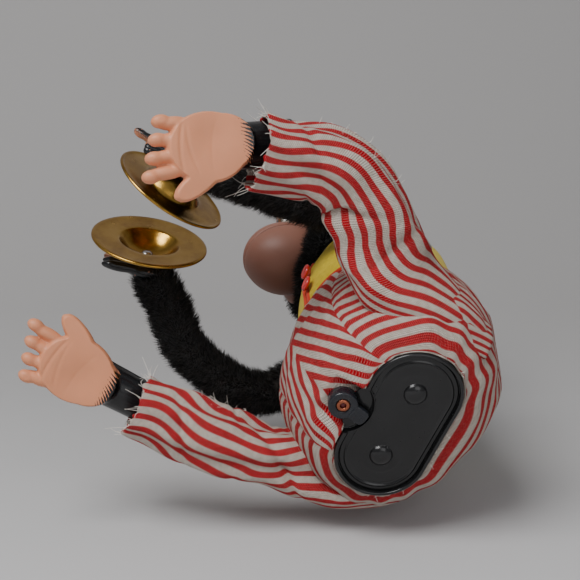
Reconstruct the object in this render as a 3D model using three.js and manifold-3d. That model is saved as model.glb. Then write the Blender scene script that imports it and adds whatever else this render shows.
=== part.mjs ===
// A battery-operated toy chimp that sits on its battery box and claps two cymbals.
// Millimetres, +Z up, -Y is the way it faces, +X is its left. The origin is the middle of the base's foot.
import * as THREE from "three";
import { mergeVertices } from "three/addons/utils/BufferGeometryUtils.js";
import Module from "manifold-3d";

const wasm = await Module();
wasm.setup();

// Driving dimensions
const GAP = 0.3; // clearance between touching pieces
const CELL_D = 34.2; // a D cell
const CELL_X = 17.1; // each cell's offset from the middle
const WALL = 1.8;
const BASE_R = CELL_D / 2 + 3.9; // rounded ends of the base flange
const BASE_HALF = 17; // from the middle to the centre of each rounded end
const WELL_R = CELL_D / 2 + 0.6;
const WELL_TOP = 66;
const BOX_R = WELL_R + WALL;
const BOX_TOP = WELL_TOP + WALL;
const PLATE_T = 1.2;
const GEAR_T = 3;
const GEAR_MODULE = 1;
const PINION_TEETH = 8;
const WHEEL_TEETH = 24;
const GEAR_BACKLASH = 0.45; // extra centre distance
const ARM_SHAFT = new THREE.Vector3(30, 3, 0); // upright axis each arm swings about
const SHOULDER_Z = 146;
const ARM_SWEEP = [-6, 9, 24].map(THREE.MathUtils.degToRad); // arm angles kept clear
const LEG_SWEEP = [-18, 0, 18].map(THREE.MathUtils.degToRad); // hip angles kept clear
const CYMBAL_R = 30;
const CYMBAL_T = 0.8;
const CYMBAL_OPEN = THREE.MathUtils.degToRad(11.7); // each cymbal's angle from the middle plane at rest
const CYMBAL_AT = new THREE.Vector3(16.2, -122, 123.5);
const NECK = new THREE.Vector3(0, 3, 158); // the head nods about this point
const HEAD_ANGLES = [12, -8, -16].map(THREE.MathUtils.degToRad); // nod, lean and turn at rest
const LEVER_Y = -26.6;
const LEVER_REACH = 8.8; // from the pivot to the centre of the lever's round tip
const LEVER_REST = THREE.MathUtils.degToRad(14); // the off position, turned from +Y towards -X
const SLOT_R = 13.5; // the round recess that the lever swings in

const colours = {
  black_plastic: [0x15161a, 0.45, 0],
  blue_black_plastic: [0x12161e, 0.2, 0],
  steel: [0xa8a9ab, 0.4, 1],
  brass: [0xc9a24a, 0.25, 1],
  copper: [0xa5502e, 0.35, 1],
  white_plastic: [0xe8e4d8, 0.5, 0],
  plush: [0x171413, 1, 0],
  stripe: [0xd9433f, 0.9, 0],
  felt: [0xc9b22c, 1, 0],
  red_plastic: [0xc2281e, 0.35, 0],
  vinyl: [0xd9997a, 0.5, 0],
  brown_eye: [0x3a1c0c, 0.1, 0],
};

const toy = new THREE.Group();

function paint(name) {
  const [color, roughness, metalness] = colours[name];
  return new THREE.MeshStandardMaterial({ color, roughness, metalness });
}

function place(name, geometry, colour) {
  const mesh = new THREE.Mesh(geometry, paint(colour));
  mesh.name = name;
  toy.add(mesh);
}

// ---- Geometry helpers ----

function toSolid(geometry) {
  const bare = geometry.clone();
  bare.deleteAttribute("normal");
  bare.deleteAttribute("uv");
  const merged = mergeVertices(bare, 1e-4);
  const vertProperties = new Float32Array(merged.attributes.position.array);
  const triVerts = new Uint32Array(merged.index.array);
  return new wasm.Manifold(new wasm.Mesh({ numProp: 3, vertProperties, triVerts }));
}

function toGeometry(solid) {
  const mesh = solid.getMesh();
  const geometry = new THREE.BufferGeometry();
  geometry.setAttribute("position", new THREE.BufferAttribute(mesh.vertProperties, mesh.numProp));
  geometry.setIndex(new THREE.BufferAttribute(mesh.triVerts, 1));
  return geometry;
}

function cut(body, ...tools) {
  let solid = toSolid(body);
  for (const tool of tools) {
    solid = solid.subtract(toSolid(tool));
  }
  return toGeometry(solid);
}

function join(...pieces) {
  let solid = toSolid(pieces[0]);
  for (const piece of pieces.slice(1)) {
    solid = solid.add(toSolid(piece));
  }
  return toGeometry(solid);
}

function box(x0, x1, y0, y1, z0, z1) {
  const geometry = new THREE.BoxGeometry(x1 - x0, y1 - y0, z1 - z0);
  return geometry.translate((x0 + x1) / 2, (y0 + y1) / 2, (z0 + z1) / 2);
}

function upright(radius, z0, z1, x = 0, y = 0, sides = 20) {
  const geometry = new THREE.CylinderGeometry(radius, radius, z1 - z0, sides);
  return geometry.rotateX(Math.PI / 2).translate(x, y, (z0 + z1) / 2);
}

function alongY(radius, y0, y1, x, z, sides = 16) {
  const geometry = new THREE.CylinderGeometry(radius, radius, y1 - y0, sides);
  return geometry.translate(x, (y0 + y1) / 2, z);
}

function egg(rx, ry, rz, x, y, z, sides = 20, rows = 12) {
  const geometry = new THREE.SphereGeometry(1, sides, rows).rotateX(Math.PI / 2);
  return geometry.scale(rx, ry, rz).translate(x, y, z);
}

function pillShape(radius, half) {
  const shape = new THREE.Shape();
  shape.moveTo(-half, -radius);
  shape.lineTo(half, -radius);
  shape.absarc(half, 0, radius, -Math.PI / 2, Math.PI / 2, false);
  shape.lineTo(-half, radius);
  shape.absarc(-half, 0, radius, Math.PI / 2, Math.PI * 1.5, false);
  return shape;
}

function pill(radius, z0, z1, half = BASE_HALF) {
  const options = { depth: z1 - z0, bevelEnabled: false, curveSegments: 8 };
  return new THREE.ExtrudeGeometry(pillShape(radius, half), options).translate(0, 0, z0);
}

// A limb: a rod of changing radius along a smooth curve, with flat ends.
function limb(points, radii, steps, sides) {
  const curve = new THREE.CatmullRomCurve3(points.map((p) => new THREE.Vector3(...p)));
  const frames = curve.computeFrenetFrames(steps);
  const geometry = new THREE.CylinderGeometry(1, 1, steps, sides, steps);
  const position = geometry.attributes.position;
  for (let i = 0; i < position.count; i += 1) {
    const row = Math.round(steps / 2 - position.getY(i));
    const t = row / steps;
    const centre = curve.getPointAt(t);
    const along = t * (radii.length - 1);
    const low = Math.min(Math.floor(along), radii.length - 2);
    const radius = THREE.MathUtils.lerp(radii[low], radii[low + 1], along - low);
    centre.addScaledVector(frames.normals[row], position.getX(i) * radius);
    centre.addScaledVector(frames.binormals[row], position.getZ(i) * radius);
    position.setXYZ(i, centre.x, centre.y, centre.z);
  }
  return facingOut(geometry);
}

// Turns every face over if the closed surface came out inside out.
function facingOut(geometry) {
  const position = geometry.attributes.position;
  const index = geometry.index.array;
  const [a, b, c] = [new THREE.Vector3(), new THREE.Vector3(), new THREE.Vector3()];
  let volume = 0;
  for (let i = 0; i < index.length; i += 3) {
    a.fromBufferAttribute(position, index[i]);
    b.fromBufferAttribute(position, index[i + 1]);
    c.fromBufferAttribute(position, index[i + 2]);
    volume += a.dot(b.cross(c));
  }
  if (volume < 0) {
    for (let i = 0; i < index.length; i += 3) {
      [index[i], index[i + 1]] = [index[i + 1], index[i]];
    }
  }
  return geometry;
}

// A round barrel whose half width and half depth change with height.
function barrel(rows, sides = 24) {
  const steps = rows.length - 1;
  const geometry = new THREE.CylinderGeometry(1, 1, steps, sides, steps);
  const position = geometry.attributes.position;
  for (let i = 0; i < position.count; i += 1) {
    const row = rows[Math.round(position.getY(i) + steps / 2)];
    const x = position.getX(i) * row.x;
    const y = position.getZ(i) * row.y + (row.shift ?? 0);
    position.setXYZ(i, x, y, row.z);
  }
  return facingOut(geometry);
}

function spring(radius, wire, z0, z1, turns, x, y) {
  class Helix extends THREE.Curve {
    getPoint(t) {
      const angle = t * turns * Math.PI * 2;
      const grown = radius * (1 - 0.35 * t);
      return new THREE.Vector3(x + grown * Math.cos(angle), y + grown * Math.sin(angle), z1 + (z0 - z1) * t);
    }
  }
  const section = new THREE.Shape().absarc(0, 0, wire, 0, Math.PI * 2, false);
  const options = { steps: turns * 9, curveSegments: 3, extrudePath: new Helix() };
  return new THREE.ExtrudeGeometry(section, options);
}

// A spur gear with straight-sided teeth, its axis along Y.
function gear(teeth, y0, y1, x, z, phase = 0) {
  const pitch = (teeth * GEAR_MODULE) / 2;
  const root = pitch - GEAR_MODULE * 1.15;
  const tip = pitch + GEAR_MODULE * 0.85;
  const shape = new THREE.Shape();
  const corners = [
    [-0.34, root],
    [-0.13, tip],
    [0.13, tip],
    [0.34, root],
  ];
  for (let tooth = 0; tooth < teeth; tooth += 1) {
    for (const [offset, radius] of corners) {
      const angle = ((tooth + offset + phase) / teeth) * Math.PI * 2;
      const point = [radius * Math.cos(angle), radius * Math.sin(angle)];
      if (tooth === 0 && offset === corners[0][0]) {
        shape.moveTo(...point);
      } else {
        shape.lineTo(...point);
      }
    }
  }
  shape.closePath();
  const geometry = new THREE.ExtrudeGeometry(shape, { depth: y1 - y0, bevelEnabled: false });
  return geometry.rotateX(Math.PI / 2).translate(x, y1, z);
}

// ---- Battery box, its cover, contacts and switch ----

function leverSlot(z1) {
  return upright(SLOT_R, -1, z1, 0, LEVER_Y, 32);
}

function batteryBox() {
  const flange = pill(BASE_R, 0, 4);
  const walls = pill(BOX_R, 3, BOX_TOP);
  const coverRecess = pill(BASE_R - WALL, -1, 2.6);
  const well = pill(WELL_R, -1, WELL_TOP);
  place("battery_box", cut(join(flange, walls), coverRecess, well, leverSlot(5)), "black_plastic");
}

function batteryCover() {
  const plate = pill(BASE_R - WALL - GAP, 0.8, 2.3);
  const domes = [-1, 1].map((side) => egg(5.5, 5.5, 0.8, side * CELL_X, 0, 1, 14, 8));
  place("battery_cover", cut(join(plate, ...domes), leverSlot(5)), "black_plastic");
  place("contact_strip", box(-CELL_X - 6, CELL_X + 6, -3.5, 4.5, 2.6, 3), "steel");
}

function contacts() {
  for (const [name, side] of [["left", 1], ["right", -1]]) {
    const coil = spring(7, 0.7, WELL_TOP - 4.2, WELL_TOP - 1.2, 3, side * CELL_X, 0);
    place(`contact_spring_${name}`, coil, "steel");
  }
}

function switchLever() {
  const boss = upright(6.6, 0.3, 7, 0, LEVER_Y, 24);
  const stem = upright(3.4, 6, 14, 0, LEVER_Y, 16);
  const arm = join(box(-3.8, 3.8, 0, LEVER_REACH, 0.3, 3.2), upright(3.8, 0.3, 3.2, 0, LEVER_REACH));
  arm.rotateZ(LEVER_REST).translate(0, LEVER_Y, 0);
  const eyeletBore = upright(3.1, -1, 3.3, 0, LEVER_Y, 16);
  place("switch_lever", cut(join(boss, stem, arm), eyeletBore), "blue_black_plastic");
  const ring = upright(2.8, 0.8, 3, 0, LEVER_Y, 16);
  place("switch_eyelet", cut(ring, upright(1.4, -1, 2.4, 0, LEVER_Y, 12)), "copper");
}

// ---- Mechanism above the battery box ----

const MECH_Z = BOX_TOP + GAP;
const FRAME_Y = 9; // inner face of each gear plate
const GEAR_Y = -4; // front face of the first gear layer
const centreDistance = ((PINION_TEETH + WHEEL_TEETH) * GEAR_MODULE) / 2 + GEAR_BACKLASH;
const motorAt = { x: -13, z: MECH_Z + 16 };
const middleAt = { x: motorAt.x + centreDistance, z: motorAt.z };
const crankAt = { x: middleAt.x, z: middleAt.z + centreDistance };
const plateLow = MECH_Z + PLATE_T + GAP;
const plateHigh = plateLow + 44;
const bridgeZ = plateHigh + GAP;

function mechanismFrame() {
  const base = box(-28, 28, -14, 14, MECH_Z, MECH_Z + PLATE_T);
  place("mechanism_base_plate", base, "steel");
  const shaftHoles = (y0, y1) => [
    alongY(2.2, y0, y1, motorAt.x, motorAt.z),
    alongY(1.65, y0, y1, middleAt.x, middleAt.z),
    alongY(1.65, y0, y1, crankAt.x, crankAt.z),
  ];
  for (const [name, y] of [["front", -FRAME_Y - PLATE_T], ["rear", FRAME_Y]]) {
    const plate = box(-28, 28, y, y + PLATE_T, plateLow, plateHigh);
    place(`gear_plate_${name}`, cut(plate, ...shaftHoles(y - 1, y + PLATE_T + 1)), "steel");
  }
  let number = 1;
  for (const x of [-25, 25]) {
    for (const z of [plateLow + 3, plateHigh - 3]) {
      place(`plate_pillar_${number}`, alongY(2, -FRAME_Y + GAP, FRAME_Y - GAP, x, z, 10), "brass");
      number += 1;
    }
  }
}

function motor() {
  const rear = FRAME_Y + PLATE_T;
  place("motor", alongY(10.5, rear + GAP, rear + 15, motorAt.x, motorAt.z, 20), "steel");
  const shaft = alongY(1.9, -7, rear, motorAt.x, motorAt.z, 12);
  const pinion = gear(PINION_TEETH, GEAR_Y, GEAR_Y + GEAR_T, motorAt.x, motorAt.z);
  place("motor_pinion", join(shaft, pinion), "brass");
}

function gearTrain() {
  const shaftEnd = FRAME_Y + PLATE_T;
  const shaft = alongY(1.6, -shaftEnd, shaftEnd, middleAt.x, middleAt.z, 12);
  const wheel = gear(WHEEL_TEETH, GEAR_Y, GEAR_Y + GEAR_T, middleAt.x, middleAt.z, 0.5);
  place("reduction_wheel", join(shaft, wheel), "white_plastic");
  const second = GEAR_Y + GEAR_T + GAP;
  const bore = alongY(1.85, second - 1, second + GEAR_T + 2, middleAt.x, middleAt.z);
  const pinion = gear(PINION_TEETH, second, second + GEAR_T, middleAt.x, middleAt.z);
  place("reduction_pinion", cut(pinion, bore), "brass");
  const crankShaft = alongY(1.6, -shaftEnd - 1.3, shaftEnd, crankAt.x, crankAt.z, 12);
  const quarter = WHEEL_TEETH / 4 + 0.5; // puts a gap against the pinion tooth below it
  const drive = gear(WHEEL_TEETH, second, second + GEAR_T, crankAt.x, crankAt.z, quarter);
  place("drive_gear", join(crankShaft, drive), "white_plastic");
}

function crank() {
  const front = -FRAME_Y - PLATE_T - 1.6;
  const disc = alongY(9, front - 2.4, front, crankAt.x, crankAt.z, 24);
  const pin = alongY(1.6, front - 6, front - 2, crankAt.x + 6, crankAt.z, 10);
  place("crank_disc", join(disc, pin), "white_plastic");
}

function squeaker() {
  const pitch = 2.4;
  const profile = [new THREE.Vector2(0, 0)];
  for (let fold = 0; fold < 5; fold += 1) {
    profile.push(new THREE.Vector2(8.5, fold * pitch), new THREE.Vector2(6.6, fold * pitch + pitch / 2));
  }
  profile.push(new THREE.Vector2(0, 4.5 * pitch));
  const shape = mergeBare(new THREE.LatheGeometry(profile, 12).rotateX(Math.PI / 2));
  const z = plateHigh - 19;
  place("squeaker_bellows", facingOut(shape).translate(12, 20, z), "white_plastic");
  place("squeaker_reed", upright(4, z - 4, z - GAP, 12, 20, 8), "black_plastic");
}

// A lathe's seam has doubled vertices, so they are merged before its faces are tested.
function mergeBare(geometry) {
  geometry.deleteAttribute("normal");
  geometry.deleteAttribute("uv");
  return mergeVertices(geometry, 1e-4);
}

function shoulderBridge() {
  const edge = ARM_SHAFT.x + 4;
  const bridge = box(-edge, edge, -8, 11, bridgeZ, bridgeZ + PLATE_T);
  const holes = [-1, 1].map((s) => upright(2.1, bridgeZ - 1, bridgeZ + 2, s * ARM_SHAFT.x, 3, 16));
  place("shoulder_bridge", cut(bridge, ...holes), "steel");
  const post = upright(4, bridgeZ + PLATE_T + GAP, NECK.z + 5, NECK.x, NECK.y, 16);
  const pinHole = new THREE.CylinderGeometry(1.9, 1.9, 20, 12).rotateZ(Math.PI / 2);
  pinHole.rotateZ(HEAD_ANGLES[2]).translate(NECK.x, NECK.y, NECK.z);
  place("neck_post", cut(post, pinHole), "steel");
}

// ---- Arms with their hands and cymbals ----

const ARM_PATHS = {
  left: [[40, -3, 146], [44, -27, 129], [42, -56, 118], [39, -84, 118], [34, -104, 123]],
  right: [[-40, -3, 146], [-63, -18, 128], [-74, -42, 116], [-63, -80, 114], [-40, -104, 122]],
};
const ARM_RADII = [9.5, 10.5, 10.5, 10, 8.5];

function armSweep(name, side, extra) {
  const radii = ARM_RADII.map((radius) => radius + extra);
  return ARM_SWEEP.map((angle) => {
    const copy = limb(ARM_PATHS[name], radii, 6, 10);
    copy.translate(-side * ARM_SHAFT.x, -ARM_SHAFT.y, 0).rotateZ(side * angle);
    return join(
      copy.translate(side * ARM_SHAFT.x, ARM_SHAFT.y, 0),
      egg(radii[0], radii[0], radii[0], side * 40, -3, SHOULDER_Z, 10, 6),
    );
  });
}

function cymbal() {
  const profile = [
    [1.6, 8.5],
    [7, 7.8],
    [12, 4],
    [15.5, 0],
    [CYMBAL_R, -0.6],
    [CYMBAL_R, -0.6 - CYMBAL_T],
    [15, -CYMBAL_T],
    [11.4, 3],
    [6.8, 6.8],
    [1.6, 7.6],
    [1.6, 8.5],
  ].map(([x, y]) => new THREE.Vector2(x, y));
  return facingOut(mergeBare(new THREE.LatheGeometry(profile, 26)));
}

function arm(name, side) {
  const shaftX = side * ARM_SHAFT.x;
  const leverBox = side > 0 ? [-26, 0] : [0, 26];
  const lever = box(...leverBox, -2, 2, bridgeZ + 1.5, bridgeZ + 3.5);
  lever.rotateZ(side * THREE.MathUtils.degToRad(20)); // points in and forward, past the neck post
  const shaft = upright(2, bridgeZ - 2, SHOULDER_Z - 4, 0, 0, 16);
  const leverAndShaft = join(shaft, lever).translate(shaftX, ARM_SHAFT.y, 0);
  place(`arm_lever_${name}`, leverAndShaft, "steel");

  const path = ARM_PATHS[name];
  const start = [shaftX, ARM_SHAFT.y, SHOULDER_Z - 1.5];
  const wire = limb([start, ...path.slice(0, 4)], [1.7, 1.7], 10, 6);
  const channel = limb([start, ...path.slice(0, 4)], [2.3, 2.3], 10, 6);
  place(`arm_wire_${name}`, wire, "steel");
  place(`arm_sleeve_${name}`, cut(limb(path, ARM_RADII, 8, 10), channel), "plush");

  const outward = new THREE.Vector3(side * Math.cos(CYMBAL_OPEN), Math.sin(CYMBAL_OPEN), 0);
  const turn = new THREE.Quaternion().setFromUnitVectors(new THREE.Vector3(0, 1, 0), outward);
  const centre = CYMBAL_AT.clone().multiply(new THREE.Vector3(side, 1, 1));
  const seat = (geometry) => geometry.applyQuaternion(turn).translate(centre.x, centre.y, centre.z);
  place(`cymbal_${name}`, seat(cymbal()), "brass");
  const head = new THREE.SphereGeometry(3, 8, 5).scale(1, 0.4, 1).translate(0, 6, 0);
  const pin = new THREE.CylinderGeometry(1.2, 1.2, 7, 8).translate(0, 9, 0);
  place(`cymbal_rivet_${name}`, seat(join(head, pin)), "steel");

  const wrist = new THREE.Vector3(...path[4]);
  const palmAt = centre.clone().addScaledVector(outward, 14);
  const palm = egg(5.2, 14, 10, 0, 0, 0, 12, 8).rotateZ(side * CYMBAL_OPEN);
  palm.translate(palmAt.x, palmAt.y, palmAt.z);
  const fingers = [-7.5, -2.5, 2.5, 7.5].map((z) => {
    const finger = egg(3, 8.5, 2.9, 0, 0, 0, 7, 6).rotateZ(side * CYMBAL_OPEN);
    return finger.translate(palmAt.x - side * 1, palmAt.y - 14, palmAt.z + z);
  });
  const wristStub = limb([wrist.toArray(), palmAt.toArray()], [7.5, 7], 2, 10);
  const pinBore = new THREE.CylinderGeometry(1.7, 1.7, 7, 8).translate(0, 9.6, 0);
  const sleeveEnd = limb(path, ARM_RADII.map((r) => r + GAP + 0.5), 6, 10);
  const fatCymbal = new THREE.CylinderGeometry(CYMBAL_R + 2, CYMBAL_R + 2, 8.9, 12);
  const hand = cut(
    join(palm, ...fingers, wristStub),
    seat(pinBore),
    seat(fatCymbal.translate(0, 4.4, 0)),
    sleeveEnd,
  );
  place(`hand_${name}`, hand, "vinyl");
}

// ---- Legs and feet ----

const LEG_PATHS = {
  left: [[45, -29, 30], [70, -36, 40], [84, -64, 42], [81.3, -99.5, 36]],
  right: [[-46, -29, 25], [-50, -55, 23], [-52, -78, 25], [-51, -103, 28.5]],
};
const LEG_RADII = [16, 18, 17, 14];
const FOOT_AT = { left: [70, -124.6, 27.3], right: [-46.6, -139.2, 30.6] };
const FOOT_HEELWARD = { left: [0.398, 0.866, 0.306], right: [-0.124, 0.991, -0.059] };
const FOOT_UP = [-0.396, 0.189, 0.899];

function legSweep(name, extra) {
  const hip = LEG_PATHS[name][0];
  const copies = LEG_SWEEP.map((angle) => {
    const copy = limb(LEG_PATHS[name], LEG_RADII.map((radius) => radius + extra), 6, 12);
    return copy.translate(-hip[0], -hip[1], -hip[2]).rotateX(angle).translate(...hip);
  });
  const ball = LEG_RADII[0] + 1.5; // keeps clear the turning end of the leg
  return [...copies, egg(ball, ball, ball, ...hip, 16, 10)];
}

function foot(name, side) {
  const sole = egg(16, 24, 13, 0, 0, 3, 14, 8);
  const bigToe = egg(5.5, 13, 5.5, -side * 15, -8, 3, 8, 6);
  const smallToes = [0, 1, 2, 3].map((i) => {
    const x = side * (-8 + i * 6.4);
    return egg(3.8, 9.5 - i * 0.8, 4.2, x, -23 + i * 2.4, 3, 7, 6);
  });
  const ankle = limb([[0, 10, 9], [0, 24, 11], [0, 44, 12]], [11, 10.5, 10], 2, 12);
  const flat = box(-40, 40, -60, 60, -30, -2);
  const heelward = new THREE.Vector3(...FOOT_HEELWARD[name]);
  const across = heelward.clone().cross(new THREE.Vector3(...FOOT_UP)).normalize();
  const up = across.clone().cross(heelward);
  const turn = new THREE.Matrix4().makeBasis(across, heelward, up);
  turn.setPosition(...FOOT_AT[name]);
  const shape = cut(join(sole, bigToe, ...smallToes, ankle), flat).applyMatrix4(turn);
  const legEnd = limb(LEG_PATHS[name], LEG_RADII.map((radius) => radius + 0.8), 6, 12);
  return cut(shape, legEnd);
}

function leg(name, side) {
  place(`trouser_leg_${name}`, limb(LEG_PATHS[name], LEG_RADII, 8, 12), "stripe");
  place(`foot_${name}`, foot(name, side), "vinyl");
}

// ---- Soft body and clothes ----

const torsoRows = [
  { z: 86, x: 40.5, y: 37.5 },
  { z: 105, x: 41.5, y: 38.5 },
  { z: 125, x: 39, y: 36 },
  { z: 138, x: 35.5, y: 32 },
  { z: 150, x: 24, y: 23 },
];

function torsoShell(extra, rows = torsoRows) {
  return barrel(rows.map((row) => ({ z: row.z, x: row.x + extra, y: row.y + extra })));
}

function bodyPlush() {
  const mechanismRoom = barrel([
    { z: 70, x: 37, y: 34 },
    { z: 119, x: 37, y: 34 },
    { z: 122, x: 36, y: 16 },
    { z: 143, x: 36, y: 16 },
    { z: 147, x: 12, y: 12, shift: 3 },
    { z: 170, x: 9, y: 9, shift: 3 },
  ]);
  const arms = [...armSweep("left", 1, 1.5), ...armSweep("right", -1, 1.5)];
  place("body_plush", cut(torsoShell(0), mechanismRoom, ...arms), "plush");
}

function trousers() {
  const outside = barrel([
    { z: 2.5, x: 41, y: 25.5 },
    { z: 9, x: 49, y: 36 },
    { z: 24, x: 55, y: 45 },
    { z: 45, x: 57, y: 49 },
    { z: 66, x: 52, y: 46 },
    { z: 85, x: 43.5, y: 41 },
  ]);
  const boxRoom = join(pill(BASE_R + GAP, -1, 4.3), pill(BOX_R + GAP, 4, BOX_TOP + GAP));
  const mechanismRoom = barrel([{ z: BOX_TOP, x: 37, y: 34 }, { z: 95, x: 37, y: 34 }]);
  const bossRoom = join(upright(8.5, -1, 8, 0, LEVER_Y), box(-8.5, 8.5, LEVER_Y, -BASE_R + 2, -1, 8));
  const switchRoom = join(bossRoom, upright(4, 7, 14.6, 0, LEVER_Y));
  const legs = [...legSweep("left", 1.5), ...legSweep("right", 1.5)];
  place("trousers", cut(outside, boxRoom, mechanismRoom, switchRoom, ...legs), "stripe");
}

function vest() {
  const rows = torsoRows.slice(0, 4);
  rows[0] = { ...rows[0], z: 87 };
  const taller = rows.map((row, i) => ({ ...row, z: row.z + [-1, 0, 0, 1][i] }));
  const frontSlit = box(-0.6, 0.6, -60, 0, 80, 150);
  const arms = [...armSweep("left", 1, 1.5), ...armSweep("right", -1, 1.5)];
  const shell = cut(torsoShell(2.6, rows), torsoShell(0.4, taller), frontSlit, ...arms);
  place("vest", shell, "felt");
  for (const [number, z] of [[1, 98], [2, 112]]) {
    place(`vest_button_${number}`, alongY(4, -45.2, -43.2, 5.5, z, 14), "red_plastic");
  }
}

// ---- Head ----

const headTurn = new THREE.Matrix4().makeRotationFromEuler(new THREE.Euler(...HEAD_ANGLES, "YZX"));

function inHead(geometry) {
  return geometry.applyMatrix4(headTurn).translate(NECK.x, NECK.y, NECK.z);
}

function head() {
  const [cy, cz] = [-6, 42]; // the head's centre, from the neck
  const skullEgg = (extra) => egg(42 + extra, 39 + extra, 43 + extra, 0, cy, cz, 20, 12);
  const faceCut = box(-60, 60, cy - 80, cy - 19, cz - 60, cz + 60);
  const neckHole = upright(12, -20, 14, 0, 0, 16);
  place("skull_plush", inHead(cut(skullEgg(0), faceCut, neckHole)), "plush");

  const behind = box(-60, 60, cy - 19 - GAP, cy + 80, cz - 60, cz + 80);
  const faceEgg = (extra) => egg(34 + extra, 20 + extra, 37 + extra, 0, cy - 17, cz + 1, 18, 12);
  const muzzle = (extra) => egg(22 + extra, 21 + extra, 22 + extra, 0, cy - 32, cz - 20, 16, 12);
  const split = cz - 19;
  const below = box(-60, 60, cy - 80, 80, cz - 80, split);
  const above = box(-60, 60, cy - 80, 80, split - 1.2, cz + 80);
  const eyeAt = (side) => [side * 13, cy - 33, cz + 9];
  const sockets = [-1, 1].map((side) => egg(6.8, 6.8, 6.8, ...eyeAt(side), 10, 8));
  const upperMuzzle = cut(muzzle(0), below);
  const face = cut(join(faceEgg(0), upperMuzzle), behind, ...sockets);
  place("face_mask", inHead(face), "vinyl");
  place("jaw", inHead(cut(muzzle(-0.4), above, faceEgg(2), skullEgg(2))), "vinyl");
  for (const [name, side] of [["left", 1], ["right", -1]]) {
    place(`eye_${name}`, inHead(egg(6.4, 6.4, 6.4, ...eyeAt(side), 10, 8)), "brown_eye");
    const ear = egg(13, 3.2, 15, side * 48, cy + 6, cz + 2, 12, 6);
    place(`ear_${name}`, inHead(cut(ear, skullEgg(GAP))), "vinyl");
  }
  const pin = new THREE.CylinderGeometry(1.5, 1.5, 22, 12).rotateZ(Math.PI / 2);
  pin.rotateZ(HEAD_ANGLES[2]).translate(NECK.x, NECK.y, NECK.z);
  place("head_pin", pin, "steel");
}

batteryBox();
batteryCover();
contacts();
switchLever();
mechanismFrame();
motor();
gearTrain();
crank();
squeaker();
shoulderBridge();
arm("left", 1);
arm("right", -1);
leg("left", 1);
leg("right", -1);
bodyPlush();
trousers();
vest();
head();

export default toy;
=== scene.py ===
"""The look of a battery-operated toy chimp with cymbals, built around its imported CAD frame."""
import math

import bpy
import numpy as np
from mathutils import Matrix, Vector, noise


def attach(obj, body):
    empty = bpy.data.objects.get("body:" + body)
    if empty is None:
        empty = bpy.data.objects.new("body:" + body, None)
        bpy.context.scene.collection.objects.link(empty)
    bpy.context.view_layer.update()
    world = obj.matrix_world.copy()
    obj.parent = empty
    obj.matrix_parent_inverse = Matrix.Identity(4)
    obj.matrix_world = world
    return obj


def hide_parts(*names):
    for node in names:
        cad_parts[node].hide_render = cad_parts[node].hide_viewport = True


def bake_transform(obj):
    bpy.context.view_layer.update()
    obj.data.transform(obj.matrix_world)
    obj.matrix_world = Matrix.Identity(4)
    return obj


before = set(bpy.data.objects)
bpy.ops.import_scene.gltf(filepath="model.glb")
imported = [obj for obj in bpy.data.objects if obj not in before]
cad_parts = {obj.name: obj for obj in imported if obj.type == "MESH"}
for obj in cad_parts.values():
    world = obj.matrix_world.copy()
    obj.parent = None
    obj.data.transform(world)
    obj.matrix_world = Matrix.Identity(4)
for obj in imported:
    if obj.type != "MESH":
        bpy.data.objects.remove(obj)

MM = 0.001
TAU = 2 * math.pi
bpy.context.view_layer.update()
noise.seed_set(7)  # without it the fur's clumps would differ from run to run


def full_turn(count):
    """Evenly spaced angles round a circle."""
    return np.linspace(0, TAU, count, endpoint=False)


def hump(distance, width):
    """1 at no distance, falling smoothly to nothing past twice the width."""
    return np.exp(-((distance / width) ** 2))


def moved_to(point):
    return Matrix.Translation(Vector(point) * MM)


def add_object(name, data):
    made = bpy.data.objects.new(name, data)
    bpy.context.scene.collection.objects.link(made)
    return made


def shade_smooth(mesh):
    mesh.polygons.foreach_set("use_smooth", [True] * len(mesh.polygons))


# ---- Camera, stage and lights ----

CAMERA_AT = np.array((233.7, -162.0, -434.8))
CAMERA_RIGHT = np.array((0.4048, 0.9143, -0.0143))
CAMERA_UP = np.array((0.8243, -0.3581, 0.4385))
CAMERA_BACK = np.cross(CAMERA_RIGHT, CAMERA_UP)
SENSOR_WIDTH = 36
LENS = 73.2
PHOTO_UP = np.array((0.89, -0.40, 0.24))  # away from the sheet that the toy lies on
PHOTO_UP /= np.linalg.norm(PHOTO_UP)
FLOOR_AT = -0.0585  # along that direction, where the toy touches the sheet
SHEET_WIDTH, SHEET_NEAR, SHEET_FAR, SHEET_BEND, SHEET_TOP = 5.0, -2.2, 0.25, 0.6, 2.6
LIGHT_AIM = Vector((0, -0.05, 0.08))
WORLD_COLOUR, WORLD_STRENGTH = (0.60, 0.61, 0.64, 1), 0.42


def make_camera():
    data = bpy.data.cameras.new("camera")
    data.sensor_width = SENSOR_WIDTH
    data.lens = LENS
    data.clip_start, data.clip_end = 0.01, 20
    camera = add_object("camera", data)
    axes = Matrix((CAMERA_RIGHT, CAMERA_UP, CAMERA_BACK)).transposed().to_4x4()
    camera.matrix_world = Matrix.Translation(Vector(CAMERA_AT * MM)) @ axes
    bpy.context.scene.camera = camera


def make_light(name, place, size, power):
    data = bpy.data.lights.new(name, "AREA")
    data.size, data.energy = size, power
    light = add_object(name, data)
    light.location = Vector(place)
    aim = LIGHT_AIM - light.location
    light.rotation_mode = "QUATERNION"
    light.rotation_quaternion = aim.to_track_quat("-Z", "Y")


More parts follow.
